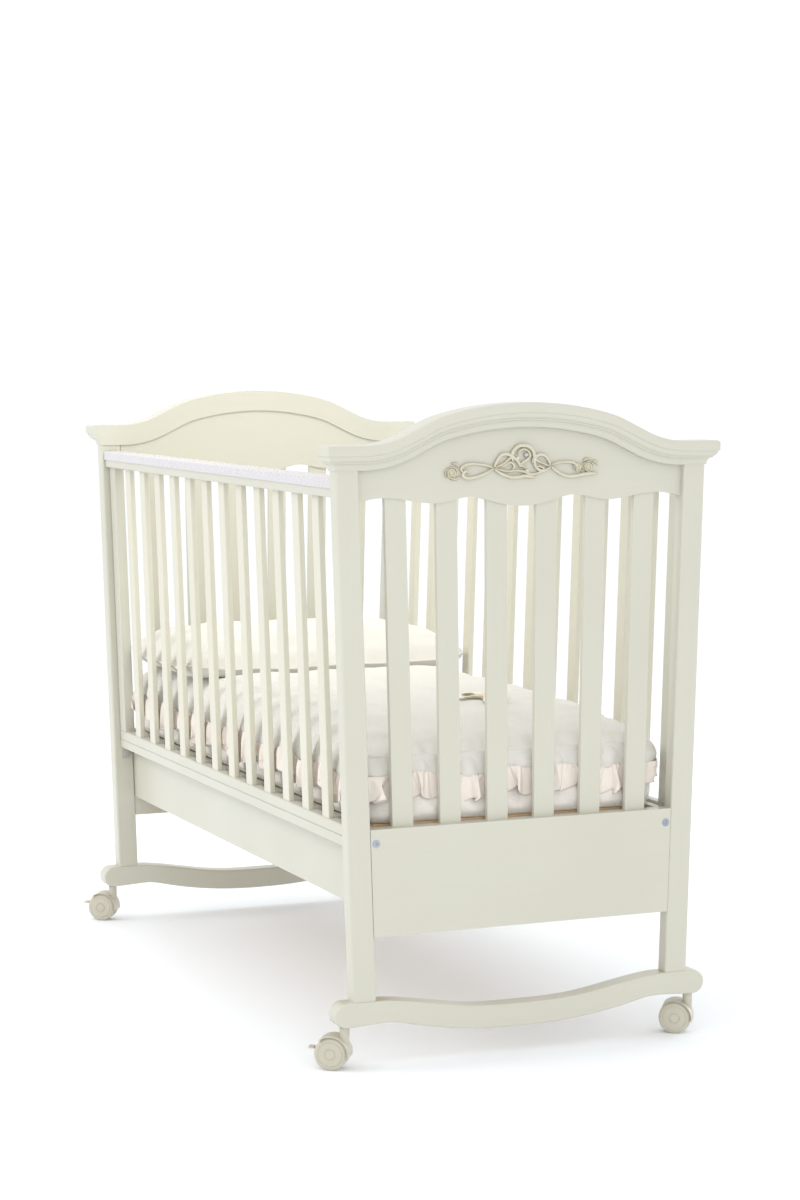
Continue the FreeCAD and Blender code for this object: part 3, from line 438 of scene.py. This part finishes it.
class Pad:
    """A round-cornered rectangle: a grid for its top, rings round its sides and a grid below."""

    def __init__(self, half_x, half_y, corner, step):
        self.half_x, self.half_y = half_x, half_y
        self.nx, self.ny = round(2 * half_x / step), round(2 * half_y / step)
        x, y = np.meshgrid(np.linspace(-half_x, half_x, self.nx + 1),
                           np.linspace(-half_y, half_y, self.ny + 1), indexing="ij")
        p = (np.abs(x) - (half_x - corner)) / corner
        q = (np.abs(y) - (half_y - corner)) / corner
        round_it = (p > 0) & (q > 0)
        p, q = np.clip(p, 0, 1), np.clip(q, 0, 1)
        new_x = half_x - corner + corner * p * np.sqrt(1 - q * q / 2)
        new_y = half_y - corner + corner * q * np.sqrt(1 - p * p / 2)
        self.x = np.where(round_it, np.copysign(new_x, x), x)
        self.y = np.where(round_it, np.copysign(new_y, y), y)
        nx, ny = self.nx, self.ny
        self.loop = ([(i, 0) for i in range(nx)] + [(nx, j) for j in range(ny)]
                     + [(i, ny) for i in range(nx, 0, -1)] + [(0, j) for j in range(ny, 0, -1)])
        i, j = np.array(self.loop).T
        self.edge = np.stack([self.x[i, j], self.y[i, j]], 1)
        inner = np.array([half_x - corner, half_y - corner])
        out = self.edge - np.clip(self.edge, -inner, inner)
        self.out = out / np.linalg.norm(out, axis=1)[:, None]
        steps = np.linalg.norm(np.roll(self.edge, -1, 0) - self.edge, axis=1)
        self.run = np.concatenate([[0], np.cumsum(steps)[:-1]])
        self.length = float(steps.sum())

    def ring(self, far, high, extra=0.0):
        """A ring moved out by far = (along x, along y), and by an extra distance at each point."""
        away = np.asarray(far) + np.reshape(np.broadcast_to(extra, len(self.edge)), (-1, 1))
        return np.column_stack([self.edge + self.out * away, np.broadcast_to(high, len(self.edge))])

    def build(self, name, top, rings, under, material, slot):
        """top and under are functions of x and y that give heights."""
        nx, ny, n = self.nx, self.ny, len(self.loop)
        flat = np.stack([self.x, self.y], -1).reshape(-1, 2)
        low = flat * np.abs(rings[-1][:, :2]).max(0) / [self.half_x, self.half_y]
        points = np.concatenate([np.column_stack([flat, top(flat[:, 0], flat[:, 1])]), *rings,
                                 np.column_stack([low, under(low[:, 0], low[:, 1])])])

        def at(i, j):
            return i * (ny + 1) + j

        grid = (nx + 1) * (ny + 1)
        base = grid + len(rings) * n
        border = [at(i, j) for i, j in self.loop]
        chain = [border] + [[grid + k * n + m for m in range(n)] for k in range(len(rings))]
        chain.append([base + b for b in border])
        cells = [(i, j) for i in range(nx) for j in range(ny)]
        faces = [(at(i, j), at(i + 1, j), at(i + 1, j + 1), at(i, j + 1)) for i, j in cells]
        for upper, lower in zip(chain, chain[1:]):
            faces += [(upper[m], lower[m], lower[(m + 1) % n], upper[(m + 1) % n])
                      for m in range(n)]
        faces += [(base + at(i, j), base + at(i, j + 1), base + at(i + 1, j + 1),
                   base + at(i + 1, j)) for i, j in cells]
        return piece(name, points, faces, material)

    def folds(self, shortest, longest, seed, at=None):
        """Fold phase at the pad's points, or at distances round it, in waves of uneven length."""
        dice = random.Random(seed)
        ends = [0.0]
        while ends[-1] < self.length:
            ends.append(ends[-1] + dice.uniform(shortest, longest))
        ends = np.array(ends) * (self.length / ends[-1])
        places = self.run if at is None else at
        return 2 * math.pi * np.interp(places, ends, np.arange(len(ends)))


AIR_PRESSURE = 3.0
PUFF_FRAMES = 20


def puff(thing, held, grow, most):
    """Let air swell a piece whose cloth is cut larger by a share, with some points held.

    No point moves further than most."""
    before = points_of(thing)
    group = thing.vertex_groups.new(name="held")
    group.add([int(i) for i in np.flatnonzero(held)], 1.0, "REPLACE")
    cloth = thing.modifiers.new("cloth", "CLOTH")
    sim = cloth.settings
    sim.quality = 6
    sim.mass = 0.15
    sim.air_damping = 4.0
    sim.tension_stiffness = sim.compression_stiffness = 12.0
    sim.shear_stiffness = 4.0
    sim.bending_stiffness = 0.6
    sim.tension_damping = sim.compression_damping = 12.0
    sim.use_pressure = True
    sim.uniform_pressure_force = AIR_PRESSURE
    sim.shrink_min = -grow
    sim.vertex_group_mass = group.name
    sim.effector_weights.gravity = 0.0
    cloth.collision_settings.use_collision = False
    cloth.point_cache.frame_start, cloth.point_cache.frame_end = 1, PUFF_FRAMES
    scene = bpy.context.scene
    for number in range(1, PUFF_FRAMES + 1):
        scene.frame_set(number)
    apply_all(thing)
    scene.frame_set(1)
    moved = points_of(thing) - before
    far = np.linalg.norm(moved, axis=1)[:, None]
    moved *= np.minimum(1.0, most * np.tanh(far / most) / np.maximum(far, 1e-9))
    set_points(thing, before + moved)
    thing.vertex_groups.clear()


UP = (0.0, 0.0, 1.0)


def tube(line, wide, deep, up=UP, closed=False, sides=10):
    """A strand along a line. Its half sizes are single or one per point, and deep is along up."""
    line = np.asarray(line, float)
    count = len(line)
    wide, deep = np.broadcast_to(wide, count), np.broadcast_to(deep, count)
    if closed:
        tangent = np.roll(line, -1, 0) - np.roll(line, 1, 0)
    else:
        tangent = np.gradient(line, axis=0)
    tangent /= np.linalg.norm(tangent, axis=1)[:, None]
    ups = np.broadcast_to(up, (count, 3))
    side = np.cross(tangent, ups)
    side /= np.linalg.norm(side, axis=1)[:, None]
    rise = np.cross(side, tangent)
    angle = 2 * np.pi * np.arange(sides) / sides
    ring = (side[:, None] * (wide[:, None] * np.cos(angle))[..., None]
            + rise[:, None] * (deep[:, None] * np.sin(angle))[..., None])
    points = (line[:, None] + ring).reshape(-1, 3)
    faces = []
    for i in range(count if closed else count - 1):
        a, b = i * sides, ((i + 1) % count) * sides
        faces += [(a + k, a + (k + 1) % sides, b + (k + 1) % sides, b + k)
                  for k in range(sides)]
    if not closed:
        faces.append(tuple(range(sides))[::-1])
        faces.append(tuple((count - 1) * sides + k for k in range(sides)))
    return points, faces


def smooth_line(knots, steps):
    """A line through knots, rounded by Catmull-Rom curves."""
    knots = np.asarray(knots, float)
    wide = np.vstack([2 * knots[0] - knots[1], knots, 2 * knots[-1] - knots[-2]])
    t = np.linspace(0, 1, steps, endpoint=False)[:, None]
    made = []
    for a, b, c, d in zip(wide, wide[1:], wide[2:], wide[3:]):
        made.append(0.5 * (2 * b + (c - a) * t + (2 * a - 5 * b + 4 * c - d) * t ** 2
                           + (3 * b - a - 3 * c + d) * t ** 3))
    return np.vstack([*made, knots[-1:]])


def joined(name, shapes, material):
    """One piece from several closed shapes."""
    points, faces = [], []
    for some, cells in shapes:
        start = len(points)
        points += list(some)
        faces += [[start + k for k in cell] for cell in cells]
    return piece(name, points, faces, material)


# ---- mattress in its fitted sheet ----

mattress_low, mattress_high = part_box("mattress")
pillow_low, pillow_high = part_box("pillow")


MATTRESS_EDGE = 0.016
MATTRESS_TURNS = 5
MATTRESS_STEPS = 26
# How far the sheet stands out down the mattress's side, by the share of the way down.
MATTRESS_BULGE = ((0, -0.0008), (0.3, -0.001), (0.62, 0.004), (0.86, 0.0075), (1.0, 0.004))


def make_mattress():
    edge = MATTRESS_EDGE
    pad = Pad(mattress_high.x - edge, mattress_high.y - edge, 0.022, 0.010)
    high, low = mattress_high.z - 0.0004, mattress_low.z + 0.0004
    rings = []
    for turn in range(1, MATTRESS_TURNS + 1):
        angle = math.pi / 2 * turn / MATTRESS_TURNS
        far = edge * math.sin(angle) - 0.0006
        rings.append(pad.ring((far, far), high - edge * (1 - math.cos(angle))))
    fold = pad.folds(0.050, 0.110, 3)
    small = pad.folds(0.016, 0.034, 4)
    for step in range(1, MATTRESS_STEPS):
        share = step / MATTRESS_STEPS
        z = high - edge - (high - low - edge - 0.008) * share
        lean = 2.6 * share
        crease = 1 - 2 * np.abs(np.sin((fold + lean) / 2)) ** 0.7
        cross = 1 - 2 * np.abs(np.sin((fold * 1.31 - 2.1 * lean + 1.0) / 2)) ** 0.8
        shown = math.sin(math.pi * share) ** 0.5
        wrinkles = shown * (0.0055 * crease + 0.0040 * cross)
        wrinkles = wrinkles + 0.0007 * np.sin(small + 2 * lean) * share
        bulge = smooth_curve(share, MATTRESS_BULGE, 0.06)
        rings.append(pad.ring((edge, edge), z, bulge + wrinkles))
    rings.append(pad.ring((edge - 0.004, edge - 0.004), low + 0.002))
    rings.append(pad.ring((edge - 0.010, edge - 0.010), low))
    made = pad.build("mattress_in_sheet", lambda x, y: np.full(len(x), high), rings,
                     lambda x, y: np.full(len(x), low), sheet_satin, "mattress_cloth")
    subdivide(made)
    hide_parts("mattress")


# ---- quilt with its gathered edge ----

# Half sizes of the quilt's flat middle, and how far its rounded side stands out, along x and y.
QUILT_INNER = (0.571, 0.2375)
QUILT_OUT = (0.0490, 0.0440)
QUILT_CORNER = 0.024
QUILT_STEP = 0.0085
QUILT_TURNS = 7
PLUMP = 0.0085
# Heights: the end of the quilt's rounded side, its seam, the ruffle's hem, and the pillow's rest.
ROLL_END = 0.476
SEAM = 0.463
HEM = 0.4265
BED_HEIGHT = 0.5330
# Half sizes that the quilt and its ruffle stay within, to clear the crib.
QUILT_LIMIT = (0.6235, 0.2835)
RUFFLE_LIMIT = (0.6278, 0.2840)
# The quilt's height along x, from head to foot.
ALONG = ((-0.640, 0.516), (-0.56, 0.522), (-0.42, 0.531), (-0.20, 0.535), (0.05, 0.5375),
         (0.28, 0.5365), (0.38, 0.532), (0.47, 0.5225), (0.547, 0.5135), (0.640, 0.500))
UNDER_QUILT = mattress_high.z + 0.0007
MATTRESS_OUT = (mattress_high.x + 0.0012 - QUILT_INNER[0],
                mattress_high.y + 0.0012 - QUILT_INNER[1])
RUFFLE_COLUMNS = 3000
RUFFLE_ROWS = 17


def quilt_top(x, y):
    """The quilt's height: a broad plateau, falling to the foot and pressed in by the pillow."""
    height = smooth_curve(x, ALONG, 0.035) - 0.0045 * (np.abs(y) / QUILT_INNER[1]) ** 5
    under_pillow = sigmoid((pillow_high.x - 0.020 - x) / 0.012)
    inside = sigmoid((0.235 - np.abs(y)) / 0.02)
    return height - 0.0055 * under_pillow * inside


def quilt_outline():
    return Pad(*QUILT_INNER, QUILT_CORNER, QUILT_STEP)


def corner_bulge(out):
    """How much further the quilt stands out at its corners, from the directions round it."""
    return 0.012 * (2 * np.abs(out[:, 0] * out[:, 1])) ** 1.5


def seam_height(pad, at=None):
    """The seam's height, which wanders slowly round the quilt."""
    slow = pad.folds(0.15, 0.34, 31, at)
    return SEAM + 0.0055 * np.sin(slow) + 0.0020 * np.sin(2.7 * slow + 1)


def make_quilt():
    """A plump quilt whose sides gather into a seam. Its underside follows the mattress."""
    pad = quilt_outline()
    edge_high = quilt_top(pad.edge[:, 0], pad.edge[:, 1])
    fold = pad.folds(0.030, 0.064, 11)
    plump = np.abs(np.sin(fold / 2)) ** 0.75
    seam = seam_height(pad)
    corner = corner_bulge(pad.out)
    rings = []
    for turn in range(1, QUILT_TURNS + 1):
        share = turn / QUILT_TURNS
        angle = math.pi / 2 * turn / QUILT_TURNS
        pull = PLUMP * share ** 1.3 * (plump - 0.75) + corner * share
        high = edge_high - (edge_high - ROLL_END) * (1 - math.cos(angle))
        rings.append(pad.ring(np.array(QUILT_OUT) * math.sin(angle), high, pull))
    for step, tuck in ((1, 0.0005), (2, 0.0020)):
        high = ROLL_END - (ROLL_END - seam) * step / 3
        pull = PLUMP * (plump - 0.75) * (1 - 0.15 * step) - tuck + corner
        rings.append(pad.ring(QUILT_OUT, high, pull))
    rings.append(pad.ring(QUILT_OUT, seam, 0.0030 * plump - 0.0065 + corner))
    held_from = len(rings)
    side = np.array(MATTRESS_OUT)
    rings.append(pad.ring(side, seam - 0.001, 0.0008))
    rings.append(pad.ring(side, seam + 0.003))
    rings.append(pad.ring(side, 0.484))
    rings.append(pad.ring(side - 0.003, UNDER_QUILT - 0.0004))
    made = pad.build("quilt_pad", quilt_top, rings, lambda x, y: np.full(len(x), UNDER_QUILT),
                     quilt_cotton, "quilt_cloth")
    grid = (pad.nx + 1) * (pad.ny + 1)
    held = np.zeros(len(made.data.vertices), bool)
    held[grid + (held_from - 1) * len(pad.loop):] = True
    puff(made, held, 0.024, 0.010)
    points = points_of(made)
    top = points[:grid]
    below_pillow = np.clip((-0.20 - top[:, 0]) / 0.05, 0, 1)
    lines = cloudy(top[:, 0], top[:, 1], 0.085, 2, 2.2)
    small = cloudy(top[:, 0], top[:, 1], 0.030, 5)
    creases = 0.0025 * lines + 0.0012 * small - 0.0014 * np.abs(lines) ** 0.5
    points[:grid, 2] += (1 - 0.8 * below_pillow) * creases
    points[:, 0] = softly(points[:, 0], QUILT_LIMIT[0], 0.004)
    points[:, 1] = softly(points[:, 1], QUILT_LIMIT[1], 0.003)
    # Under the pillow the quilt stays below its rest.
    lift = np.clip((points[:grid, 0] - pillow_high.x + 0.006) / 0.030, 0, 1)
    points[:grid, 2] = np.minimum(points[:grid, 2], BED_HEIGHT + 0.020 * lift ** 1.5)
    set_points(made, points)
    subdivide(made)
    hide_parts("quilt")
    return made


def make_ruffle():
    """The gathered satin strip that hangs from the quilt's seam all the way round."""
    pad = quilt_outline()
    rows, count = RUFFLE_ROWS, RUFFLE_COLUMNS
    at = np.arange(count) * pad.length / count
    run = np.append(pad.run, pad.length)
    edge = np.vstack([pad.edge, pad.edge[:1]])
    out = np.vstack([pad.out, pad.out[:1]])

    def along(where):
        """Points and outward directions at distances along the outline."""
        where = where % pad.length
        spot = np.stack([np.interp(where, run, edge[:, k]) for k in (0, 1)], 1)
        away = np.stack([np.interp(where, run, out[:, k]) for k in (0, 1)], 1)
        return spot, away / np.linalg.norm(away, axis=1)[:, None]

    wide = pad.folds(0.022, 0.043, 21, at)
    tight = pad.folds(0.007, 0.013, 22, at)
    slow = pad.folds(0.11, 0.24, 23, at)
    seam = seam_height(pad, at) + 0.004
    sides = along(at)[1]
    corner = corner_bulge(sides)
    parts = []
    for row in range(rows):
        share = row / (rows - 1)
        sway = 0.0100 * share * np.cos(wide + 0.8 * np.sin(slow)) + 0.005 * share * np.sin(slow)
        spot, away = along(at + sway)
        flare = 0.0088 * share ** 0.6 * np.sin(wide) + 0.0014 * (1 - 0.6 * share) * np.sin(tight)
        flare += 0.0016 * share * np.sin(wide * 2.3 + slow)
        far = np.array(QUILT_OUT) - 0.0045 + (0.0048 * share + flare + corner)[:, None]
        hem = HEM + 0.0085 * np.sin(slow + 0.5) + 0.0060 * np.sin(wide + 0.9)
        parts.append(np.column_stack([spot + away * far, seam - share * (seam - hem)]))
    points = np.stack(parts)
    points[..., 0] = softly(points[..., 0], RUFFLE_LIMIT[0], 0.004)
    points[..., 1] = softly(points[..., 1], RUFFLE_LIMIT[1], 0.003)
    # Folds that would reach into the mattress lie on its side.
    inner = np.array([mattress_high.x + 0.0022, mattress_high.y + 0.0022])
    hidden = (np.abs(points[..., 0]) < inner[0]) & (np.abs(points[..., 1]) < inner[1])
    on_side = np.abs(sides)[None, :, 1] > 0.7
    for axis, here in ((1, hidden & on_side), (0, hidden & ~on_side)):
        pushed = np.copysign(inner[axis], points[..., axis])
        points[..., axis] = np.where(here, pushed, points[..., axis])
    faces = [(r * count + c, (r + 1) * count + c, (r + 1) * count + (c + 1) % count,
              r * count + (c + 1) % count) for r in range(rows - 1) for c in range(count)]
    made = piece("quilt_ruffle", points.reshape(-1, 3), faces, ruffle_satin)
    thick = made.modifiers.new("thick", "SOLIDIFY")
    thick.thickness = 0.0007
    thick.offset = 0
    apply_all(made)


# ---- pillow ----

PILLOW_RIM = 0.006
PIPING_RADIUS = 0.0021


def make_pillow():
    """The pillow. Gives the points of its rim, for the piping."""
    half_x = (pillow_high.x - pillow_low.x) / 2 - PILLOW_RIM
    half_y = (pillow_high.y - pillow_low.y) / 2 - PILLOW_RIM
    middle_x = (pillow_high.x + pillow_low.x) / 2
    pad = Pad(half_x, half_y, 0.026, 0.0088)

    def rim_height(x, y):
        corner = np.clip((np.abs(x) / half_x) * (np.abs(y) / half_y), 0, 1) ** 6
        return pillow_low.z + 0.012 + 0.016 * corner + 0.0015 * cloudy(x, y, 0.06, 8)

    def fullness(x, y):
        u, v = np.clip(np.abs(x) / half_x, 0, 1), np.clip(np.abs(y) / half_y, 0, 1)
        return np.maximum((1 - u ** 4.4) * (1 - v ** 6.0), 0) ** 0.44

    def top(x, y):
        return rim_height(x, y) + (pillow_high.z - pillow_low.z - 0.017) * fullness(x, y)

    def under(x, y):
        return np.maximum(rim_height(x, y) - 0.040 * fullness(x, y) - 0.0004, BED_HEIGHT + 0.0012)

    edge_high = rim_height(pad.edge[:, 0], pad.edge[:, 1])
    rings = [pad.ring((0.0022, 0.0022), edge_high - 0.0010),
             pad.ring((0.0008, 0.0008), edge_high - 0.0024)]
    made = pad.build("pillow_case", top, rings, under, pillow_cotton, "pillow_cloth")
    grid = (pad.nx + 1) * (pad.ny + 1)
    held = np.zeros(len(made.data.vertices), bool)
    held[grid:] = True
    puff(made, held, 0.022, 0.007)
    shape = points_of(made)
    upper = shape[:grid]
    lines = cloudy(upper[:, 0], upper[:, 1], 0.07, 12, 1.7)
    near_rim = np.clip((upper[:, 2] - pillow_low.z - 0.018) / 0.02, 0, 1)
    shape[:grid, 2] += 0.0016 * lines * near_rim
    shape[:, 2] = np.minimum(shape[:, 2], pillow_high.z + 0.004)
    # The corners are pulled out into ears.
    ears = 1 + 0.030 * (np.abs(shape[:, 0]) / half_x * np.abs(shape[:, 1]) / half_y) ** 8
    shape[:, :2] *= ears[:, None]
    shape[:, 0] += middle_x
    set_points(made, shape)
    subdivide(made)
    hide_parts("pillow")
    # Subdividing keeps the first points in their order.
    return points_of(made)[grid:grid + len(pad.loop)]


def make_piping(rim):
    made = joined("pillow_piping", [tube(rim, PIPING_RADIUS, PIPING_RADIUS, closed=True, sides=8)],
                  pillow_cotton)


# ---- bow on the quilt ----

# The bow's loop as (out, up) and its tail as (out, aside, up), for one side.
BOW_LOOP = ((0.000, 0.005), (0.012, 0.0085), (0.028, 0.0095), (0.042, 0.0070), (0.0455, 0.0045),
            (0.040, 0.0025), (0.026, 0.002), (0.010, 0.002), (0.000, 0.0035))
BOW_TAIL = ((0.002, 0.000, 0.006), (0.016, -0.014, 0.006), (0.030, -0.026, 0.003),
            (0.046, -0.034, 0.0025))
RIBBON_THICK = 0.0005


def make_bow(quilt, middle, angle):
    """A small satin bow lying on the quilt: two loops, two tails and a knot."""
    facing = np.array([math.cos(angle), math.sin(angle), 0.0])
    across = np.array([-facing[1], facing[0], 0.0])
    up = np.array([UP])
    surface = points_of(quilt)
    near = np.hypot(surface[:, 0] - middle[0], surface[:, 1] - middle[1]) < 0.050
    ground = float(surface[near, 2].max()) - RIBBON_THICK
    centre = np.array([middle[0], middle[1], ground])
    shapes = []
    for side in (-1, 1):
        path = smooth_line(BOW_LOOP, 5)
        out = side * path[:, :1]
        turn = np.gradient(path, axis=0)
        normal = side * -turn[:, 1:] * facing + turn[:, :1] * up
        width = 0.004 + 0.011 * np.clip(path[:, 0] / 0.036, 0, 1) ** 0.8
        line = centre + out * facing + path[:, 1:] * up + 0.004 * out * across
        shapes.append(tube(line, width, RIBBON_THICK, normal))
        tail = smooth_line(BOW_TAIL, 6)
        line = centre + side * tail[:, :1] * facing + tail[:, 1:2] * across + tail[:, 2:] * up
        shapes.append(tube(line, np.linspace(0.004, 0.0095, len(line)), RIBBON_THICK))
    turn = np.linspace(0, 2 * math.pi, 16, endpoint=False)[:, None]
    outward = np.cos(turn) * across + np.sin(turn) * up
    knot = centre + 0.0055 * np.cos(turn) * across + (0.0055 + 0.0065 * np.sin(turn)) * up
    shapes.append(tube(knot, 0.0045, 0.0012, outward, closed=True))
    made = joined("quilt_bow", shapes, bow_satin)


# ---- ornament on the foot panel ----

ornament_low, ornament_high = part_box("ornament")
ORNAMENT_MIDDLE = 0.967
MILLIMETRE = 0.001
OUT = (1, 0, 0)
# In millimetres, as (y, height above the middle). Each ribbon has a half width and a lift outwards.
RIBBONS = (
    (((-19, 6), (-21, 14), (-18, 23), (-10, 30), (-1, 31.5), (9, 29.5), (17, 22), (19, 12),
      (15, 3)), 2.5, 1.4),
    (((-11, 17), (-6, 23), (2, 25), (9, 21), (11, 14), (6, 8), (-1, 4), (-8, -3)), 1.7, 0.6),
    (((-53, -3), (-49, 4), (-43, 13), (-36, 17.5), (-27, 17), (-18, 12), (-10, 5), (-6, -4)),
     2.2, 1.2),
    (((-52, -4), (-40, 0), (-31, 5), (-24, 11), (-17, 11), (-11, 6), (-4, -1), (4, -6)), 1.9, 0.3),
    (((-40, -3), (-32, 0), (-25, 4), (-20, 3), (-17, -3), (-20, -8)), 1.5, 0.8),
    (((-53, -5), (-43, -12), (-32, -17), (-20, -20), (-8, -19.5), (3, -18), (14, -20), (22, -20)),
     2.2, 0.9),
    (((-50, -5), (-36, -9), (-24, -10), (-12, -9), (0, -11), (8, -13), (16, -17)), 1.7, 0.2),
    (((48, -4), (40, -9), (31, -10), (24, -6), (20, 1), (20, 10), (25, 15), (33, 16), (41, 12),
      (46, 4), (48, -3)), 2.2, 1.1),
    (((46, -3), (37, 1), (29, 4), (22, 8), (17, 13)), 1.7, 0.2),
    (((48, -5), (37, -10), (26, -14), (15, -16), (5, -13), (-3, -9)), 1.9, 0.6),
    (((22, -5), (28, -3), (34, -5), (37, -9)), 1.4, 1.0),
    (((-54, -4), (-66, 0), (-78, 2), (-92, 3), (-104, 1), (-111, -5), (-107, -11)), 1.9, 0.7),
    (((-54, -5), (-64, -11), (-76, -16), (-88, -19), (-100, -20), (-108, -15), (-103, -9),
      (-96, -11)), 2.2, 1.1),
    (((49, -4), (59, -11), (70, -17), (82, -20), (95, -19.5), (110, -17), (124, -16), (134, -16)),
     2.2, 1.1),
    (((50, -1), (60, 2), (72, 3.5), (84, 3), (93, 0), (97, -6), (95, -11)), 1.8, 0.6),
)
CRYSTALS = ((4, 16), (5, -10), (-12, 11), (18, 9))
# Roses as (y, height, radius).
ROSES = ((-127, -11.5, 11.5), (98, -5, 7.5), (117, -5, 10.5))
LEAVES = (((-115, -3), (-119, 3), (-127, 4)), ((-112, -17), (-119, -21), (-128, -22)),
          ((108, 3), (113, 7), (122, 7)), ((124, 4), (130, 3), (135, -3)),
          ((104, -13), (112, -16), (120, -15)))
RIBBON_WIDER = 1.2
STEM_RADII = (3.4, 3.3, 3.1, 2.9, 2.5)
DOME_HEIGHT = 4.4
DOME_RINGS, DOME_POINTS = 6, 18


def rose(y, z, size, base):
    """A dome wrapped in a spiral of petals, in millimetres."""
    rings, around = DOME_RINGS, DOME_POINTS
    dome = [(base + DOME_HEIGHT, y, z)]
    for k in range(1, rings + 1):
        tilt = math.pi / 2 * k / rings
        high, wide = base + DOME_HEIGHT * math.cos(tilt), 0.86 * size * math.sin(tilt)
        dome += [(high, y + wide * math.cos(turn), z + wide * math.sin(turn))
                 for turn in (2 * math.pi * m / around for m in range(around))]
    cells = [(0, 1 + m, 1 + (m + 1) % around) for m in range(around)]
    for k in range(rings - 1):
        a, b = 1 + k * around, 1 + (k + 1) * around
        cells += [(a + m, b + m, b + (m + 1) % around, a + (m + 1) % around) for m in range(around)]
    cells.append(tuple(1 + (rings - 1) * around + m for m in range(around))[::-1])
    turns = np.linspace(0.15, 1.0, 86)
    angle = turns * 5.2 * math.pi
    reach = size * (0.16 + 0.76 * turns) * (1 + 0.09 * np.sin(angle * 2.5))
    line = np.column_stack([base + 5.6 - 3.4 * turns ** 1.6, y + reach * np.cos(angle),
                            z + reach * np.sin(angle)])
    outward = np.column_stack([1.1 - 0.5 * turns, 0.5 * np.cos(angle), 0.5 * np.sin(angle)])
    return [(dome, cells), tube(line, 0.62 + 0.35 * turns, 1.5, outward, sides=8)]


def make_ornament():
    """Interlaced ribbons between two bunches of roses, cast in resin."""
    back = ornament_low.x / MILLIMETRE
    shapes = []
    for knots, half, lift in RIBBONS:
        line = smooth_line(knots, 7)
        share = np.linspace(0, 1, len(line))
        taper = 0.45 + 0.55 * np.clip(np.minimum(share, 1 - share) / 0.16, 0, 1) ** 0.7
        weave = lift + 0.5 * np.sin(share * 9 + half)
        places = np.column_stack([back + 2.4 + weave, line])
        shapes.append(tube(places, RIBBON_WIDER * half * taper, 2.5 * (0.6 + 0.4 * taper), OUT))
        # A narrow bead runs along the middle of each ribbon.
        shapes.append(tube(places + [2.15, 0, 0], 0.38 * half * taper, 0.7, OUT, sides=6))
    for y, z in CRYSTALS:
        count = len(STEM_RADII)
        stem = [back + np.linspace(0.2, 6.8, count), np.full(count, y), np.full(count, z)]
        shapes.append(tube(np.column_stack(stem), STEM_RADII, STEM_RADII, sides=14))
    for y, z, size in ROSES:
        shapes += rose(y, z, size, back)
    for knots in LEAVES:
        line = smooth_line(knots, 6)
        leaf = 0.4 + 2.4 * np.sin(np.linspace(0, math.pi, len(line)))
        places = np.column_stack([np.full(len(line), back + 1.6), line])
        shapes.append(tube(places, leaf, 1.5, OUT))
    placed = []
    for points, cells in shapes:
        places = np.asarray(points) * MILLIMETRE
        places[:, 2] += ORNAMENT_MIDDLE
        places[:, 0] = np.clip(places[:, 0], ornament_low.x - 0.0004, ornament_high.x - 0.0002)
        placed.append((places, cells))
    made = joined("foot_ornament", placed, resin_cream)
    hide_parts("ornament")


make_mattress()
quilt_pad = make_quilt()
make_ruffle()
make_piping(make_pillow())
make_bow(quilt_pad, (0.335, 0.075), 0.35)
make_ornament()
